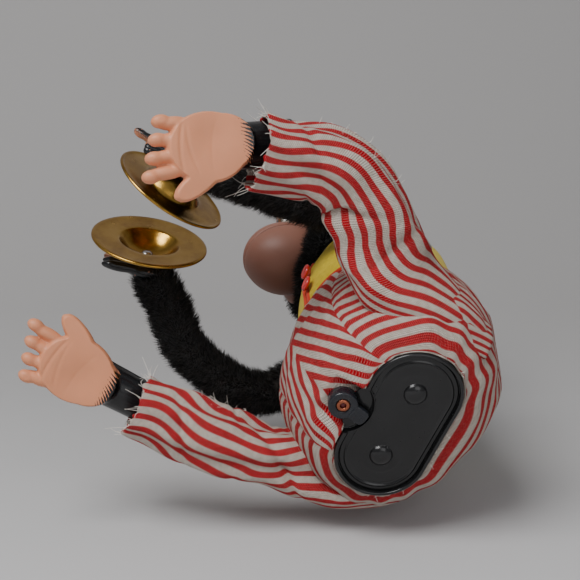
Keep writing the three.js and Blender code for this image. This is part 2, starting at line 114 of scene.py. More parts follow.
def make_stage():
    """A pale sheet under the toy as it lies, bent up behind it and seen from its upper side only."""
    up = Vector(PHOTO_UP)
    away = (up * Vector(CAMERA_BACK).dot(up) - Vector(CAMERA_BACK)).normalized()
    side = away.cross(up)
    section = [(SHEET_NEAR, 0.0), (SHEET_FAR, 0.0)]
    section += [(SHEET_FAR + SHEET_BEND * math.sin(a), SHEET_BEND - SHEET_BEND * math.cos(a))
                for a in np.linspace(0.08, math.pi / 2, 24)]
    section.append((SHEET_FAR + SHEET_BEND, SHEET_TOP))
    points = [up * FLOOR_AT + away * x + up * z + side * y
              for x, z in section for y in (-SHEET_WIDTH / 2, SHEET_WIDTH / 2)]
    faces = [(2 * i, 2 * i + 1, 2 * i + 3, 2 * i + 2) for i in range(len(section) - 1)]
    mesh = bpy.data.meshes.new("floor")
    mesh.from_pydata(points, [], faces)
    if mesh.polygons[0].normal.dot(up) < 0:
        mesh.flip_normals()
    shade_smooth(mesh)
    floor = add_object("floor", mesh)
    mesh.materials.append(sheet_material(away))


def sheet_material(away):
    """Pale cloth with painted shade: its colour darkens away from the camera. Its back is clear, so it hides
    nothing from behind.
    """
    look = Look("sheet", (0.56, 0.55, 0.55), 0.95)
    geometry = look.nodes.new("ShaderNodeNewGeometry")
    distance = look.nodes.new("ShaderNodeVectorMath")
    distance.operation = "DOT_PRODUCT"
    look.links.new(geometry.outputs["Position"], distance.inputs[0])
    distance.inputs[1].default_value = tuple(away)
    # Painted shade: the colour ramp darkens the sheet with distance from the camera, standing in for the
    # light falling off.
    shade = look.ramp(look.math("ADD", distance.outputs["Value"], 0.5), (0.15, (0.68, 0.675, 0.68)),
                      (0.55, (0.50, 0.495, 0.495)), (0.9, (0.36, 0.35, 0.345)))
    look.feed("Base Color", shade)
    clear = look.nodes.new("ShaderNodeBsdfTransparent")
    mix = look.nodes.new("ShaderNodeMixShader")
    look.links.new(geometry.outputs["Backfacing"], mix.inputs[0])
    look.links.new(look.shader.outputs[0], mix.inputs[1])
    look.links.new(clear.outputs[0], mix.inputs[2])
    look.links.new(mix.outputs[0], look.nodes["Material Output"].inputs[0])
    return look.material


def make_lights():
    world = bpy.data.worlds.new("world")
    world.use_nodes = True
    background = world.node_tree.nodes["Background"]
    background.inputs[0].default_value = WORLD_COLOUR
    background.inputs[1].default_value = WORLD_STRENGTH
    bpy.context.scene.world = world
    up, right, toward = PHOTO_UP, CAMERA_RIGHT, CAMERA_BACK
    make_light("key", up * 1.1 - right * 0.6 + toward * 0.6, 0.8, 22)
    make_light("fill", toward * 1.4 + right * 0.5 + up * 0.4, 1.0, 5)
    make_light("back", -toward * 1.2 + up * 0.9, 1.2, 4)


# ---- Materials ----

PALM_TONE = (0.72, 0.285, 0.145)
# The head's vinyl tone is partly a browner face tone and partly painted shade, so it is far darker than the
# hands' and feet's vinyl.
SHADED_FACE_TONE = (0.27, 0.115, 0.078)


class Look:
    """A Principled material, with short ways to add nodes to it. A value may be a number or a socket."""

    def __init__(self, name, colour, roughness, metallic=0.0):
        self.material = bpy.data.materials.new(name)
        self.material.use_nodes = True
        self.nodes, self.links = self.material.node_tree.nodes, self.material.node_tree.links
        self.shader = self.nodes["Principled BSDF"]
        self.set("Base Color", (*colour, 1))
        self.set("Roughness", roughness)
        self.set("Metallic", metallic)

    def set(self, socket, value):
        self.shader.inputs[socket].default_value = value

    def feed(self, socket, value):
        self.links.new(value, self.shader.inputs[socket])

    def fill(self, socket, value):
        if isinstance(value, (int, float)):
            socket.default_value = value
        elif isinstance(value, tuple):
            socket.default_value = (*value, 1)
        else:
            self.links.new(value, socket)

    def math(self, operation, *values):
        node = self.nodes.new("ShaderNodeMath")
        node.operation = operation
        for socket, value in zip(node.inputs, values):
            self.fill(socket, value)
        return node.outputs[0]

    def noise(self, scale, detail=3, vector=None, roughness=0.5):
        node = self.nodes.new("ShaderNodeTexNoise")
        for socket, value in (("Scale", scale), ("Detail", detail), ("Roughness", roughness)):
            node.inputs[socket].default_value = value
        if vector is None:
            vector = self.nodes.new("ShaderNodeTexCoord").outputs["Object"]
        self.links.new(vector, node.inputs["Vector"])
        return node.outputs["Fac"]

    def ramp(self, factor, *stops):
        node = self.nodes.new("ShaderNodeValToRGB")
        while len(node.color_ramp.elements) < len(stops):
            node.color_ramp.elements.new(0.5)
        for element, (position, colour) in zip(node.color_ramp.elements, stops):
            element.position = position
            element.color = (*colour, 1)
        self.links.new(factor, node.inputs[0])
        return node.outputs[0]

    def mix(self, factor, first, second, blend="MIX"):
        node = self.nodes.new("ShaderNodeMix")
        node.data_type = "RGBA"
        node.blend_type = blend
        for index, value in ((0, factor), (6, first), (7, second)):
            self.fill(node.inputs[index], value)
        return node.outputs[2]

    def bump(self, height, strength, distance):
        node = self.nodes.new("ShaderNodeBump")
        node.inputs["Strength"].default_value = strength
        node.inputs["Distance"].default_value = distance
        self.links.new(height, node.inputs["Height"])
        self.feed("Normal", node.outputs[0])

    def uv_axes(self):
        """The UV map, and its two axes."""
        uv = self.nodes.new("ShaderNodeUVMap").outputs[0]
        split = self.nodes.new("ShaderNodeSeparateXYZ")
        self.links.new(uv, split.inputs[0])
        return uv, split.outputs[0], split.outputs[1]


def stripe_material():
    """Cream and red ticking. The UV map holds stripe widths across and the same unit along."""
    look = Look("striped_ticking", (0.8, 0.7, 0.6), 0.85)
    uv, across, along = look.uv_axes()
    # Short slanted stitches of the weave nibble the stripes' edges.
    slant = look.math("ADD", look.math("MULTIPLY", along, 7.5), look.math("MULTIPLY", across, 2.2))
    stitch = look.math("SINE", look.math("MULTIPLY", slant, TAU))
    wave = look.math("SINE", look.math("MULTIPLY", across, TAU))
    edge = look.math("ADD", wave, look.math("MULTIPLY", stitch, 0.16))
    red = look.ramp(look.math("MULTIPLY_ADD", edge, 0.5, 0.5), (0.47, (0, 0, 0)), (0.56, (1, 1, 1)))
    pale = look.math("MULTIPLY_ADD", look.noise(9, 2, uv), 1.3, -0.25)
    flecks = look.math("MULTIPLY", look.math("GREATER_THAN", stitch, 0.55), pale)
    red_shade = look.ramp(look.noise(2.0, 4, uv), (0.3, (0.33, 0.0, 0.004)), (0.7, (0.50, 0.0, 0.010)))
    red_cloth = look.mix(flecks, red_shade, (0.66, 0.24, 0.22))
    cream = look.ramp(look.noise(3.0, 4, uv), (0.3, (0.50, 0.43, 0.36)), (0.7, (0.64, 0.57, 0.50)))
    specks = look.ramp(look.noise(6, 5, uv, 0.75), (0.70, (0, 0, 0)), (0.73, (1, 1, 1)))
    cloth = look.mix(red, cream, red_cloth)
    look.feed("Base Color", look.mix(look.math("MULTIPLY", specks, 0.8), cloth, (0.1, 0.08, 0.075)))
    weave = look.math("ADD", stitch, look.math("SINE", look.math("MULTIPLY", across, TAU * 9)))
    look.bump(weave, 0.8, 0.00022)
    look.set("Specular IOR Level", 0.15)
    return look.material


def fur_material():
    look = Look("black_fur", (0.012, 0.010, 0.010), 0.62)
    # Random brown tone through the pile; its lightest brown stop is also a painted highlight standing in for
    # sheen on the fur.
    look.feed("Base Color", look.ramp(look.noise(260, 3), (0.3, (0.006, 0.005, 0.005)),
                                      (0.55, (0.014, 0.012, 0.011)), (0.8, (0.075, 0.062, 0.053))))
    look.set("Sheen Weight", 0.15)
    look.set("Sheen Roughness", 0.5)
    look.set("Specular IOR Level", 0.3)
    return look.material


def felt_material(name, colour=None):
    """Wool felt: stained yellow, or one plain colour."""
    look = Look(name, colour or (0.6, 0.5, 0.04), 0.95)
    if colour is None:
        wool = look.noise(420, 5, roughness=0.7)
        shade = look.ramp(wool, (0.3, (0.50, 0.36, 0.012)), (0.7, (0.64, 0.49, 0.03)))
        stain = look.ramp(look.noise(28, 3), (0.35, (0.9, 0.86, 0.8)), (0.65, (1, 1, 1)))
        look.feed("Base Color", look.mix(1.0, shade, stain, "MULTIPLY"))
    look.bump(look.noise(1500, 4), 0.5, 0.0004)
    look.set("Sheen Weight", 0.12)
    look.set("Specular IOR Level", 0.1)
    return look.material


def vinyl_material(name, painted, tone):
    """Soft flesh vinyl. Where painted, the UV map says how far a point is inside the black paint."""
    look = Look(name, tone, 0.5)
    blush = look.ramp(look.noise(45, 3), (0.3, tuple(c * 0.88 for c in tone)), (0.7, tone))
    look.set("Subsurface Weight", 0.15)
    look.set("Subsurface Radius", (0.004, 0.0015, 0.001))
    look.set("Subsurface Scale", 0.5)
    grain = look.noise(900, 3)
    if not painted:
        look.feed("Base Color", blush)
        look.bump(grain, 0.12, 0.0003)
        return look.material
    uv, around, inward = look.uv_axes()
    teeth = look.math("MULTIPLY", look.math("PINGPONG", around, 0.6), 6.5)
    ragged = look.math("ADD", teeth, look.math("MULTIPLY", look.noise(1.4, 3, uv), 4.0))
    inside = look.math("GREATER_THAN", look.math("ADD", inward, ragged), 4.2)
    chips = look.math("GREATER_THAN", look.noise(130, 6, roughness=0.7), 0.66)
    mask = look.math("MULTIPLY", inside, look.math("SUBTRACT", 1.0, chips))
    look.feed("Base Color", look.mix(mask, blush, (0.009, 0.009, 0.010)))
    look.feed("Roughness", look.math("MULTIPLY_ADD", mask, -0.27, 0.5))
    look.bump(look.math("ADD", mask, look.math("MULTIPLY", grain, 0.3)), 0.25, 0.0002)
    return look.material


def brass_material():
    look = Look("cymbal_brass", (0.75, 0.5, 0.16), 0.2, 1.0)
    look.feed("Base Color", look.ramp(look.noise(60, 5, roughness=0.65), (0.3, (0.30, 0.15, 0.025)),
                                      (0.55, (0.47, 0.27, 0.055)), (0.8, (0.58, 0.37, 0.10))))
    look.feed("Roughness", look.math("MULTIPLY_ADD", look.noise(150, 4), 0.22, 0.12))
    _, _, outward = look.uv_axes()
    look.bump(look.math("SINE", look.math("MULTIPLY", outward, 9.0)), 0.10, 0.00006)
    return look.material


def plain_material(name, colour, roughness, metallic=0.0, grain=600, depth=0.15, coat=0.0):
    """Moulded plastic or plated metal with a fine grain and a slightly uneven finish."""
    look = Look(name, colour, roughness, metallic)
    dark, light = tuple(c * 0.8 for c in colour), tuple(min(1, c * 1.25 + 0.002) for c in colour)
    look.feed("Base Color", look.ramp(look.noise(70, 4), (0.3, dark), (0.7, light)))
    fine = look.noise(grain, 4)
    look.feed("Roughness", look.math("MULTIPLY_ADD", fine, 0.16, roughness - 0.08))
    look.bump(fine, depth, 0.0002)
    look.set("Coat Weight", coat)
    return look.material


def eye_material():
    look = Look("glass_eye", (0.2, 0.08, 0.03), 0.08)
    _, _, outward = look.uv_axes()
    look.feed("Base Color", look.ramp(outward, (0.10, (0.004, 0.003, 0.003)), (0.125, (0.20, 0.075, 0.02)),
                                      (0.20, (0.11, 0.04, 0.012)), (0.225, (0.01, 0.006, 0.005)),
                                      (0.25, (0.5, 0.44, 0.36))))
    look.set("Coat Weight", 1.0)
    return look.material


# ---- Mesh helpers, in millimetres ----

def dress(piece, node=None, body=None):
    """Hides the CAD node that a piece stands for, and attaches the piece to the body it rides."""
    if body:
        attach(piece, body)
    if node:
        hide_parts(node)


def across_and_through(radius):
    """A tube's two radii, both from radius(t), for tube_points."""
    return lambda t, angle: (radius(t) + 0 * angle,) * 2


def closed_ends(points):
    """Adds a ring shrunk to a point before and after the rings of a tube."""
    columns = points.shape[1]
    first, last = points[:1].mean(1, keepdims=True), points[-1:].mean(1, keepdims=True)
    return np.concatenate([np.repeat(first, columns, 1), points, np.repeat(last, columns, 1)])


def coordinates(mesh):
    """A mesh's points in millimetres."""
    co = np.empty(len(mesh.vertices) * 3)
    mesh.vertices.foreach_get("co", co)
    return co.reshape(-1, 3) / MM


def new_piece(name, points, faces, material, body, uv=None):
    """A mesh object from an array of points and rows of face corners, with a UV for every corner."""
    mesh = bpy.data.meshes.new(name)
    mesh.from_pydata((np.asarray(points) * MM).tolist(), [], [list(map(int, f)) for f in faces])
    if uv is not None:
        layer = mesh.uv_layers.new(name="UVMap")
        layer.data.foreach_set("uv", np.asarray(uv, np.float32).ravel())
    mesh.materials.append(material)
    shade_smooth(mesh)
    mesh.validate()
    piece = add_object(name, mesh)
    if body:
        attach(piece, body)
    return piece


def grid_faces(rows, columns, closed):
    """Quads over a grid of rows by columns, and each quad's corners in grid steps for its UVs."""
    across = columns if closed else columns - 1
    r, c = np.meshgrid(np.arange(rows - 1), np.arange(across), indexing="ij")
    r, c = r.ravel(), c.ravel()
    steps = [(r, c), (r, c + 1), (r + 1, c + 1), (r + 1, c)]
    faces = np.stack([rr * columns + cc % columns for rr, cc in steps], axis=1)
    corner_rows = np.stack([rr for rr, _ in steps], axis=1)
    corner_columns = np.stack([cc for _, cc in steps], axis=1)
    return faces, corner_rows, corner_columns


def grid_piece(name, points, uv_of, material, body, closed=True, thickness=0.0):
    """A surface through a grid of points. uv_of(row, column) gives UVs, past the seam as well."""
    rows, columns = points.shape[:2]
    faces, corner_rows, corner_columns = grid_faces(rows, columns, closed)
    uv = np.stack(uv_of(corner_rows, corner_columns), axis=-1) if uv_of else None
    piece = new_piece(name, points.reshape(-1, 3), faces, material, None, uv)
    if thickness:
        solid = piece.modifiers.new("thickness", "SOLIDIFY")
        solid.thickness = thickness * MM
        solid.offset = 0
        solid.use_rim = True
        apply_modifiers(piece)
    if body:
        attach(piece, body)
    return piece


def apply_modifiers(piece):
    graph = bpy.context.evaluated_depsgraph_get()
    mesh = bpy.data.meshes.new_from_object(piece.evaluated_get(graph), depsgraph=graph)
    piece.modifiers.clear()
    piece.data = mesh


def spline(points, steps):
    """Points along a smooth curve through the given points, evenly spaced."""
    p = np.asarray(points, float)
    p = np.vstack([2 * p[0] - p[1], p, 2 * p[-1] - p[-2]])
    out = []
    for i in range(1, len(p) - 2):
        for t in np.linspace(0, 1, 24, endpoint=False):
            a, b, c, d = p[i - 1:i + 3]
            out.append(0.5 * (2 * b + (c - a) * t + (2 * a - 5 * b + 4 * c - d) * t ** 2
                              + (3 * b - a - 3 * c + d) * t ** 3))
    out.append(p[-2])
    out = np.array(out)
    length = np.r_[0, np.cumsum(np.linalg.norm(np.diff(out, axis=0), axis=1))]
    want = np.linspace(0, length[-1], steps)
    return np.stack([np.interp(want, length, out[:, k]) for k in range(3)], axis=1), length[-1]


def frames_along(path, side):
    """Side and normal directions along a path: side is one direction, or one for each of several knots."""
    tangents = np.gradient(path, axis=0)
    tangents /= np.linalg.norm(tangents, axis=1)[:, None]
    side = np.asarray(side, float)
    if side.ndim == 2:
        t, knots = np.linspace(0, 1, len(path)), np.linspace(0, 1, len(side))
        sides = np.stack([np.interp(t, knots, side[:, k]) for k in range(3)], axis=1)
        sides -= tangents * np.sum(sides * tangents, axis=1)[:, None]
        sides /= np.linalg.norm(sides, axis=1)[:, None]
        return sides, np.cross(tangents, sides)
    sides, current = [], side
    for tangent in tangents:
        current = current - tangent * (current @ tangent)
        current /= np.linalg.norm(current)
        sides.append(current)
    sides = np.array(sides)
    return sides, np.cross(tangents, sides)


def tube_points(path, side, radius_of, columns):
    """Rings round a path. radius_of(t, angle) gives two radii, across and through."""
    rows = len(path)
    sides, normals = frames_along(path, side)
    t = np.linspace(0, 1, rows)[:, None]
    angle = full_turn(columns)[None, :]
    wide, deep = radius_of(t, angle)
    x = (wide * np.cos(angle))[..., None]
    y = (deep * np.sin(angle))[..., None]
    return path[:, None, :] + x * sides[:, None, :] + y * normals[:, None, :]


def wobble(points, scale, seed):
    """Smooth noise from -1 to 1 for an array of points."""
    flat = points.reshape(-1, 3)
    shift = Vector((seed * 17.3, seed * 5.1, seed * 9.7))
    values = [noise.noise(Vector(p) * scale + shift) for p in flat]
    return np.array(values).reshape(points.shape[:-1])


def egg_points(centre, radii, rows=14, columns=20):
    down, around = np.linspace(0, math.pi, rows), full_turn(columns)
    v, u = np.meshgrid(down, around, indexing="ij")
    unit = np.stack([np.sin(v) * np.cos(u), np.sin(v) * np.sin(u), np.cos(v)], axis=-1)
    return unit * np.asarray(radii) + np.asarray(centre)


def blob(name, parts, voxel, smoothing, material, body, transform=None, uv_of=None, cut=None):
    """Closed lumps melted into one skin: each part is a grid of rings, closed at both ends."""
    points, faces, base = [], [], 0
    for part in parts:
        rows, columns = part.shape[:2]
        quads, _, _ = grid_faces(rows, columns, True)
        points.append(part.reshape(-1, 3))
        faces += (quads + base).tolist()
        faces.append([base + c for c in range(columns)][::-1])
        faces.append([base + (rows - 1) * columns + c for c in range(columns)])
        base += rows * columns
    piece = new_piece(name, np.vstack(points), faces, material, None)
    remesh = piece.modifiers.new("skin", "REMESH")
    remesh.mode = "VOXEL"
    remesh.voxel_size = voxel * MM
    relax = piece.modifiers.new("relax", "SMOOTH")
    relax.factor, relax.iterations = 0.5, smoothing
    apply_modifiers(piece)
    mesh = piece.data
    co = coordinates(mesh)
    if cut is not None:
        co = cut(co)
        mesh.vertices.foreach_set("co", (co * MM).ravel())
    if uv_of is not None:
        u, v = uv_of(co)
        loops = np.empty(len(mesh.loops), int)
        mesh.loops.foreach_get("vertex_index", loops)
        layer = mesh.uv_layers.new(name="UVMap")
        layer.data.foreach_set("uv", np.stack([u[loops], v[loops]], 1).astype(np.float32).ravel())
    if transform is not None:
        mesh.transform(transform)
    mesh.materials.clear()
    mesh.materials.append(material)
    shade_smooth(mesh)
    mesh.update()
    if body:
        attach(piece, body)
    return piece


BLADE_WIDTH = 0.34


def fur(name, skin, count, length, lean, seed, material, keep=None):
    """Plush pile: tapered blades of real mesh, grown from a skin and combed along lean."""
    random = np.random.default_rng(seed)
    mesh = skin.data
    mesh.calc_loop_triangles()
    tri = np.array([t.vertices for t in mesh.loop_triangles])
    co = coordinates(mesh)
    a, b, c = co[tri[:, 0]], co[tri[:, 1]], co[tri[:, 2]]
    cross = np.cross(b - a, c - a)
    area = np.linalg.norm(cross, axis=1)
    pick = random.choice(len(tri), count, p=area / area.sum())
    u, v = random.random((2, count))
    flip = u + v > 1
    u[flip], v[flip] = 1 - u[flip], 1 - v[flip]
    root = a[pick] + u[:, None] * (b - a)[pick] + v[:, None] * (c - a)[pick]
    normal = cross[pick] / np.maximum(area[pick], 1e-9)[:, None]
    if keep is not None:
        kept = keep(root)
        root, normal, count = root[kept], normal[kept], int(kept.sum())
    comb = lean(root) if callable(lean) else np.tile(np.asarray(lean, float), (count, 1))
    comb = comb - normal * np.sum(comb * normal, axis=1)[:, None]
    clump = np.array([noise.noise_vector(Vector(p) * 0.16 + Vector((seed, 0, 0))) for p in root])
    way = normal * 0.75 + comb * 0.55 + clump * 0.55 + random.normal(0, 0.16, (count, 3))
    way /= np.linalg.norm(way, axis=1)[:, None]
    across = np.cross(way, random.normal(0, 1, (count, 3)))
    across /= np.linalg.norm(across, axis=1)[:, None]
    size = length * random.uniform(0.6, 1.1, count)[:, None]
    droop = comb * 0.35 + np.array((0, 0, -0.08))
    middle = root + way * size * 0.55
    tip = root + way * size + droop * size * 0.4
    half = across * BLADE_WIDTH / 2
    start = root - normal * 0.6
    corners = np.stack([start - half, start + half, middle - half * 0.8, middle + half * 0.8, tip], axis=1)
    index = np.arange(count)[:, None] * 5
    quads = (index + np.array([0, 1, 3, 2])).tolist()
    tips = (index + np.array([2, 3, 4])).tolist()
    return new_piece(name, corners.reshape(-1, 3), quads + tips, material, None)


def lathe(name, profile, columns, transform, material, body):
    """A turned piece: the profile's rows are (radius, height), turned about Z."""
    profile = np.asarray(profile, float)
    angle = full_turn(columns)
    ring = np.stack([np.cos(angle), np.sin(angle)], axis=1)
    height = np.broadcast_to(profile[:, 1][:, None, None], (len(profile), columns, 1))
    points = np.concatenate([profile[:, 0][:, None, None] * ring[None], height], axis=2)
    run = np.r_[0, np.cumsum(np.linalg.norm(np.diff(profile, axis=0), axis=1))]
    piece = grid_piece(name, points, lambda r, c: (c / columns * 40, run[r]), material, None)
    piece.data.transform(transform)
    if body:
        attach(piece, body)
    return piece


def pill_ring(radius, half, z, count=96):
    """A stadium outline of evenly spaced points."""
    straight, arc = 2 * half, math.pi * radius
    want = np.linspace(0, 2 * (straight + arc), count, endpoint=False)
    points = []
    for s in want:
        if s < straight:
            points.append((-half + s, -radius))
        elif s < straight + arc:
            a = (s - straight) / radius - math.pi / 2
            points.append((half + radius * math.cos(a), radius * math.sin(a)))
        elif s < 2 * straight + arc:
            points.append((half - (s - straight - arc), radius))
        else:
            a = (s - 2 * straight - arc) / radius + math.pi / 2
            points.append((-half + radius * math.cos(a), radius * math.sin(a)))
    return np.c_[np.array(points), np.full(count, z)]


def smooth_step(value):
    """From 0 to 1 as the value does, flat at both ends."""
    t = np.clip(value, 0, 1)
    return t * t * (3 - 2 * t)


def carve(piece, height):
    """Cuts the switch lever's round recess out of a moulded piece."""
    outline = [(LEVER[0] + SLOT_R * math.cos(a), LEVER[1] + SLOT_R * math.sin(a))
               for a in full_turn(72)]
    n = len(outline)
    points = [(x, y, z) for z in (-5, height) for x, y in outline]
    faces = [list(range(n))[::-1], list(range(n, 2 * n))]
    faces += [[i, (i + 1) % n, n + (i + 1) % n, n + i] for i in range(n)]
    cutter = new_piece("cutter", points, faces, piece.data.materials[0], None)
    weld = piece.modifiers.new("weld", "WELD")
    weld.merge_threshold = 0.02 * MM
    slot = piece.modifiers.new("slot", "BOOLEAN")
    slot.operation, slot.solver, slot.object = "DIFFERENCE", "EXACT", cutter
    edges = piece.modifiers.new("edges", "EDGE_SPLIT")
    edges.split_angle = math.radians(40)
    apply_modifiers(piece)
    bpy.data.objects.remove(cutter)


def tube_piece(name, path, radius, material, body, columns=10):
    """A round strand along a path."""
    side = np.array((0.31, 0.52, 0.79))
    points = tube_points(np.asarray(path, float), side, across_and_through(lambda t: radius + 0 * t), columns)
    return grid_piece(name, points, lambda r, c: (c / columns, r * 0.1), material, body)


def threads(name, starts, ways, lengths, material, body, seed, radius=0.16):
    """Loose ends of yarn, one thin strand of three sides from each start."""
    random = np.random.default_rng(seed)
    points, faces = [], []
    steps = 7
    tapered = across_and_through(lambda u: radius * (1 - 0.5 * u))
    for start, way, length in zip(starts, ways, lengths):
        way = np.asarray(way, float) + random.normal(0, 0.35, 3)
        way /= np.linalg.norm(way)
        bend = random.normal(0, 0.5, 3)
        t = np.linspace(0, 1, steps)[:, None]
        path = np.asarray(start) + way * t * length + bend * (t ** 2) * length * 0.6
        ring = tube_points(path, random.normal(0, 1, 3), tapered, 3)
        quads, _, _ = grid_faces(steps, 3, True)
        faces += (quads + len(points) * steps * 3).tolist()
        points.append(ring.reshape(-1, 3))
    return new_piece(name, np.vstack(points), faces, material, body)


# ---- Base, cover and switch ----

FLANGE_R, COVER_R = 21.0, 18.9
HALF = 17.0  # half the straight side of their outlines
DOME_X, DOME_R, DOME_HIGH = 17.1, 5.2, 2.7
COVER_Z = 2.0
LEVER = (0.0, -26.6)
LEVER_REST = math.radians(14)
SLOT_R = 13.5


def make_base(black):
    profile = [(0, 66), (9, 66), (16.6, 66), (17.7, 64.8), (17.7, 2.7), (19.15, 2.6), (19.2, 2.3),
               (19.2, 0.7), (19.3, 0.3), (19.6, 0.06), (20.1, 0.0), (20.55, 0.18), (20.85, 0.6), (21, 1.3),
               (21, 3.2), (20.8, 3.8), (20.3, 4), (19.5, 4.1), (19.5, 66.6), (18.6, 67.8), (9, 67.8),
               (0, 67.8)]
    points = np.stack([pill_ring(r, HALF, z, 160) for r, z in profile])
    shell = grid_piece("base_shell", points, None, black, None)
    carve(shell, 5)
    dress(shell, "battery_box", "chassis")

    radii = np.r_[COVER_R, 18.85, 18.7, 18.4, np.linspace(18.0, 0.0, 73)]
    under = []
    for r in radii:
        ring = pill_ring(r, HALF, 0.8, 200)
        reach = np.hypot(np.abs(ring[:, 0]) - DOME_X, ring[:, 1])
        dome = DOME_HIGH * np.sqrt(np.clip(1 - (reach / DOME_R) ** 2, 0, 1)) ** 1.2
        dome -= 0.35 * hump(reach, 0.9)
        halo = 0.2 * hump(reach - 8.4, 0.8)
        ridge = 0.5 * hump(r - 16.2, 0.42)
        ridge -= 0.25 * hump(r - 14.9, 0.5)
        edge = 0.5 * max(0.0, (r - 18.3) / 0.6) ** 2
        ring[:, 2] = COVER_Z - dome - halo - ridge * (reach > 5.5) + edge
        under.append(ring)
    top = [pill_ring(r, HALF, 2.58, 200) for r in (COVER_R, 12, 0.0)]
    cover = grid_piece("cover_pan", np.stack(top[::-1] + under), None, black, None)
    carve(cover, 5)
    dress(cover, "battery_cover", "cover")

    # The recess has a wall and a floor of its own, and a thin raised lip round its inner side.
    arc = np.linspace(math.radians(25), math.radians(155), 60)
    wall = []
    for radius, z in ((SLOT_R - 0.05, 1.2), (SLOT_R - 0.1, 3.2), (SLOT_R - 0.5, 3.8), (SLOT_R - 1.4, 4.0),
                      (9, 4.05), (4.5, 4.1), (4.5, 4.6), (9, 4.6), (SLOT_R - 0.2, 4.6), (SLOT_R - 0.05, 4.4),
                      (SLOT_R - 0.05, 1.2)):
        wall.append([(LEVER[0] + radius * math.cos(a), LEVER[1] + radius * math.sin(a), z) for a in arc])
    tray = grid_piece("slot_tray", np.array(wall), None, black, "cover", closed=False)
    lip_arc = np.linspace(math.radians(27), math.radians(153), 50)
    lip = [(LEVER[0] + (SLOT_R + 0.3) * math.cos(a), LEVER[1] + (SLOT_R + 0.3) * math.sin(a), 1.7)
           for a in lip_arc]
    rim = tube_piece("slot_lip", lip, 0.38, black, "cover")


def make_lever(blue_black, copper, wine):
    x, y = LEVER
    place = moved_to((x, y, 0))
    profile = [(3.1, 3.0), (3.1, 1.2), (3.4, 0.8), (4.6, 0.7), (5.4, 0.35), (6.0, 0.3), (6.45, 0.6),
               (6.6, 1.2), (6.6, 6.4), (6.2, 7), (3.6, 7.1), (3.4, 7.4), (3.4, 13.6), (3.0, 14), (0.05, 14)]
    arm = []
    for t, half in ((0.0, 3.2), (0.15, 3.8), (0.6, 3.9), (0.85, 3.6), (0.96, 2.8), (1.0, 1.4)):
        ring = []
        for a in full_turn(40):
            cx = math.copysign(abs(math.cos(a)) ** 0.45, math.cos(a)) * half
            cz = math.copysign(abs(math.sin(a)) ** 0.45, math.sin(a)) * 1.5 * (0.75 + 0.25 * min(1, half / 4))
            cy = 4.6 + 7.9 * t
            turned = (cx * math.cos(LEVER_REST) - cy * math.sin(LEVER_REST),
                      cx * math.sin(LEVER_REST) + cy * math.cos(LEVER_REST))
            ring.append((x + turned[0], y + turned[1], 1.8 + cz))
        arm.append(ring)
    lever = lathe("lever_boss", profile, 72, place, blue_black, "switch")
    dress(lever, "switch_lever")
    arm_points = closed_ends(np.array(arm))
    blade = grid_piece("lever_arm", arm_points, lambda r, c: (c / 40, r * 0.2), blue_black, "switch")
    ring = [(1.3, 1.6), (1.25, 1.0), (1.5, 0.62), (2.1, 0.5), (2.7, 0.7), (3.0, 1.15), (2.9, 2.6), (2.0, 2.9)]
    eyelet = lathe("eyelet", ring, 64, place, copper, "switch")
    dress(eyelet, "switch_eyelet")
    core = [(0.02, 1.25), (0.6, 1.3), (1.2, 1.5), (1.35, 1.9), (1.35, 2.8), (0.02, 2.8)]
    plug = lathe("eyelet_core", core, 32, place, wine, "switch")


# ---- Trousers ----

PITCH = 6.0  # one red and one cream stripe
CLOTH, FELT = 0.7, 1.5  # thicknesses
SEAM = 28.0  # each gather seam's distance from the front seam, along the cloth
TORSO_PROFILE = [(88, 41.6, 39.2), (80, 46.2, 42.6), (66, 52.6, 46.8), (54, 56.0, 48.9), (42, 57.2, 49.6),
                 (30, 56.4, 47.6), (20, 54.2, 44.0), (12, 50.8, 38.6), (7, 47.6, 33.6), (3.6, 44.0, 28.6),
                 (1.9, 41.2, 24.8), (1.7, 39.2, 22.4)]


def ellipse_at(a, b, arcs):
    """Points at given arc lengths from the front, as shares of the front strips and of the rest."""
    angle = np.linspace(-math.pi / 2, 1.5 * math.pi, 1441)
    line = np.stack([a * np.cos(angle), b * np.sin(angle)], axis=1)
    run = np.r_[0, np.cumsum(np.linalg.norm(np.diff(line, axis=0), axis=1))]
    want = np.where(arcs <= 1, arcs * SEAM, SEAM + (arcs - 1) * (run[-1] - 2 * SEAM))
    want = np.where(arcs >= 2, run[-1] - SEAM + (arcs - 2) * SEAM, want)
    return np.stack([np.interp(want, run, line[:, k]) for k in (0, 1)], axis=1), want, run[-1]


def outside_pill(points, radius, share):
    """Pulls points towards the base outline by a share, and never lets them inside it."""
    spare = np.clip(np.abs(points[:, 0]) - HALF, 0, None) * np.sign(points[:, 0])
    core = points[:, 0] - spare
    distance = np.hypot(spare, points[:, 1])
    wanted = np.maximum(distance * (1 - share) + radius * share, radius) / distance
    return np.stack([core + spare * wanted, points[:, 1] * wanted], axis=1)


